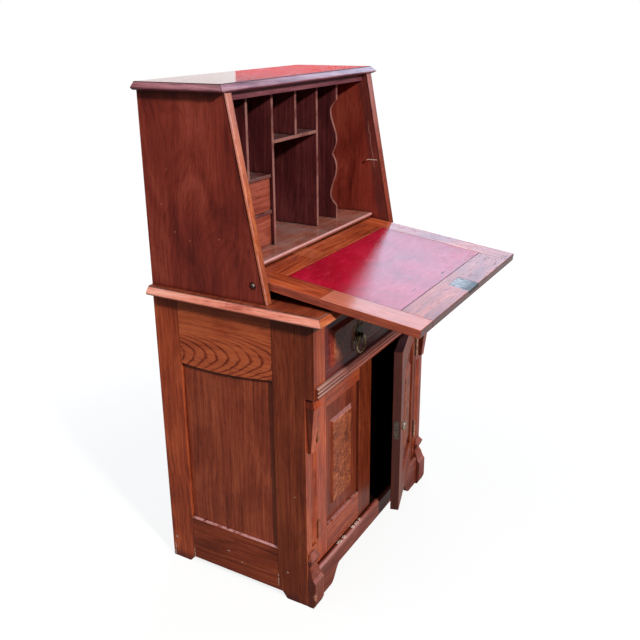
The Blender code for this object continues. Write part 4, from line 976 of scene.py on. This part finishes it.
def build_escutcheon():
    """The small brass keyhole plate on the right door's front, and the drop that hangs before it."""
    low, _ = in_own_axes("right_door_frame", RIGHT_DOOR)
    panel_low, _ = in_own_axes("right_door_panel", RIGHT_DOOR)
    lock_low, lock_high = in_own_axes("right_door_lock", RIGHT_DOOR)
    spot = Vector(((low.x + panel_low.x) / 2, low.y, (lock_low.z + lock_high.z) / 2))
    place = RIGHT_DOOR @ face(spot, RIGHT, UP)
    angles = [2 * math.pi * i / 48 for i in range(48)]
    outer = [(0.0065 * math.cos(a), 0.0105 * math.sin(a) - 0.0015) for a in angles]
    inner = [(keyhole(a) * math.cos(a), keyhole(a) * math.sin(a)) for a in angles]
    levels = ((outer, 1.0, SUNK), (outer, 1.0, 0.0008), (outer, 0.86, 0.0014), (inner, 1.12, 0.0014),
              (inner, 1.0, 0.0010), (inner, 1.0, SUNK))
    bm = bmesh.new()
    loft(bm, [[(x * share, y * share, z) for x, y in ring] for ring, share, z in levels], place, joined=True)
    brass = metal("escutcheon", srgb(214, 204, 190), srgb(120, 104, 84), 0.3, 27, 0.8)
    finish_piece("right_door_escutcheon", bm, "right_door", brass)
    bm = bmesh.new()
    nail_head(bm, place @ Matrix.Translation((0, 0.0074, 0.0014)), radius=0.0030, rise=0.0088)
    drop = []
    for a in angles:
        wide = 0.0056 * (1 - 0.45 * math.sin(a))
        drop.append((wide * math.cos(a), 0.0115 * math.sin(a) - 0.0022))
    levels = ((1.0, 0.0016), (1.0, 0.0042), (0.8, 0.0068), (0.4, 0.0082))
    loft(bm, [[(x * share, y * share, z) for x, y in drop] for share, z in levels], place)
    finish_piece("right_door_key_drop", bm, "right_door", brass)


def build_stage():
    """A pale floor that keeps a soft shadow and goes over into the white background."""
    bm = bmesh.new()
    bmesh.ops.create_grid(bm, x_segments=8, y_segments=8, size=14)
    mesh = bpy.data.meshes.new("floor")
    bm.to_mesh(mesh)
    bm.free()
    floor = bpy.data.objects.new("floor", mesh)
    floor.location.z = -0.0005
    bpy.context.scene.collection.objects.link(floor)
    g = Graph("floor")
    path = g.add("LightPath").outputs
    x, y, _ = g.split(g.place())
    near_front = g.product(g.smooth(y, -0.1, -0.2), g.smooth(y, -0.95, -0.75))
    mirrored = g.total((near_front, FRONT_SHEEN - MIRRORED), MIRRORED)
    seen = g.most(path["Is Camera Ray"], g.product(path["Is Glossy Ray"], mirrored),
                  g.product(path["Is Transmission Ray"], mirrored))
    away = g.math("SQRT", g.math("ADD", g.product(x, x), g.product(y, y)))
    paper = g.total((g.smooth(away, 0.7, 2.0), 0.14), 0.86)
    g.surface({"Base Color": (0.16, 0.16, 0.16), "Roughness": 0.9, "Specular IOR Level": 0.0,
               "Emission Color": (1, 1, 1), "Emission Strength": g.product(seen, paper)})
    mesh.materials.append(g.owner)


def build_world():
    """A white background, and a soft room for the light that falls on the desk."""
    g = Graph("studio", "worlds")
    g.tree.nodes.clear()
    bpy.context.scene.world = g.owner
    path = g.add("LightPath").outputs
    seen = g.total((path["Is Glossy Ray"], MIRRORED), (path["Is Transmission Ray"], MIRRORED),
                   path["Is Camera Ray"])
    white = g.add("Background", {"Color": (1, 1, 1)})
    room = g.add("Background", {"Color": (1, 0.96, 0.94), "Strength": 0.11})
    both = g.add("MixShader", {0: seen, 1: room.outputs[0], 2: white.outputs[0]})
    g.add("OutputWorld", {0: both.outputs[0]})


def aimed(place, direction):
    """A matrix at a place, whose -Z looks in a direction and whose Y is up."""
    turn = Vector(direction).to_track_quat("-Z", "Y").to_matrix()
    return Matrix.Translation(place) @ turn.to_4x4()


def softbox(name, place, target, size, power, colour=(1, 1, 1)):
    """A rectangular studio lamp that the camera doesn't see."""
    light = bpy.data.lights.new(name, "AREA")
    light.shape = "RECTANGLE"
    light.size, light.size_y = size
    light.energy = power
    light.color = colour
    lamp = bpy.data.objects.new(name, light)
    lamp.matrix_world = aimed(place, Vector(target) - Vector(place))
    lamp.visible_camera = False
    bpy.context.scene.collection.objects.link(lamp)


def build_lights():
    """Key from the front left, a cool window on the far right, a soft light from above, and two cards.

    The polished top mirrors the cards: the photo's top is half white and half red.
    """
    softbox("key", (-2.6, -4.9, 4.05), (0, 0, 0.75), (0.5, 0.5), 400, (1, 0.97, 0.93))
    softbox("window", (2.6, 0.7, 2.2), (0, 0, 0.85), (2.75, 1.45), 45, (0.48, 0.74, 1.0))
    softbox("overhead", (-0.9, 0.5, 2.8), (0, 0, 0.8), (2.2, 2.2), 26, (0.96, 0.97, 1.0))
    softbox("white_card", (1.705, 2.175, 1.22), (-0.2, 0.1, 1.2), (1.075, 0.6), 1.72)
    softbox("red_card", (2.47, 1.125, 1.15), (-0.2, 0.1, 1.15), (1.6, 0.5), 2.1, (1, 0.01, 0.01))


def build_camera():
    """The photo's camera."""
    data = bpy.data.cameras.new("camera")
    data.lens = CAMERA_LENS
    data.sensor_width = 36
    data.shift_x, data.shift_y = CAMERA_SHIFT
    camera = bpy.data.objects.new("camera", data)
    camera.matrix_world = aimed(CAMERA_PLACE, CAMERA_FORWARD) @ Matrix.Rotation(CAMERA_ROLL, 4, "Z")
    bpy.context.scene.collection.objects.link(camera)
    bpy.context.scene.camera = camera


dress_boards()
dress_case()
dress_base_sides()
dress_doors()
dress_fall()
dress_metal()
dress_long_drawer()
build_pull_scrolls()
build_screws()
build_escutcheon()
build_stage()
build_world()
build_lights()
build_camera()
bpy.context.scene.view_settings.view_transform = "Standard"
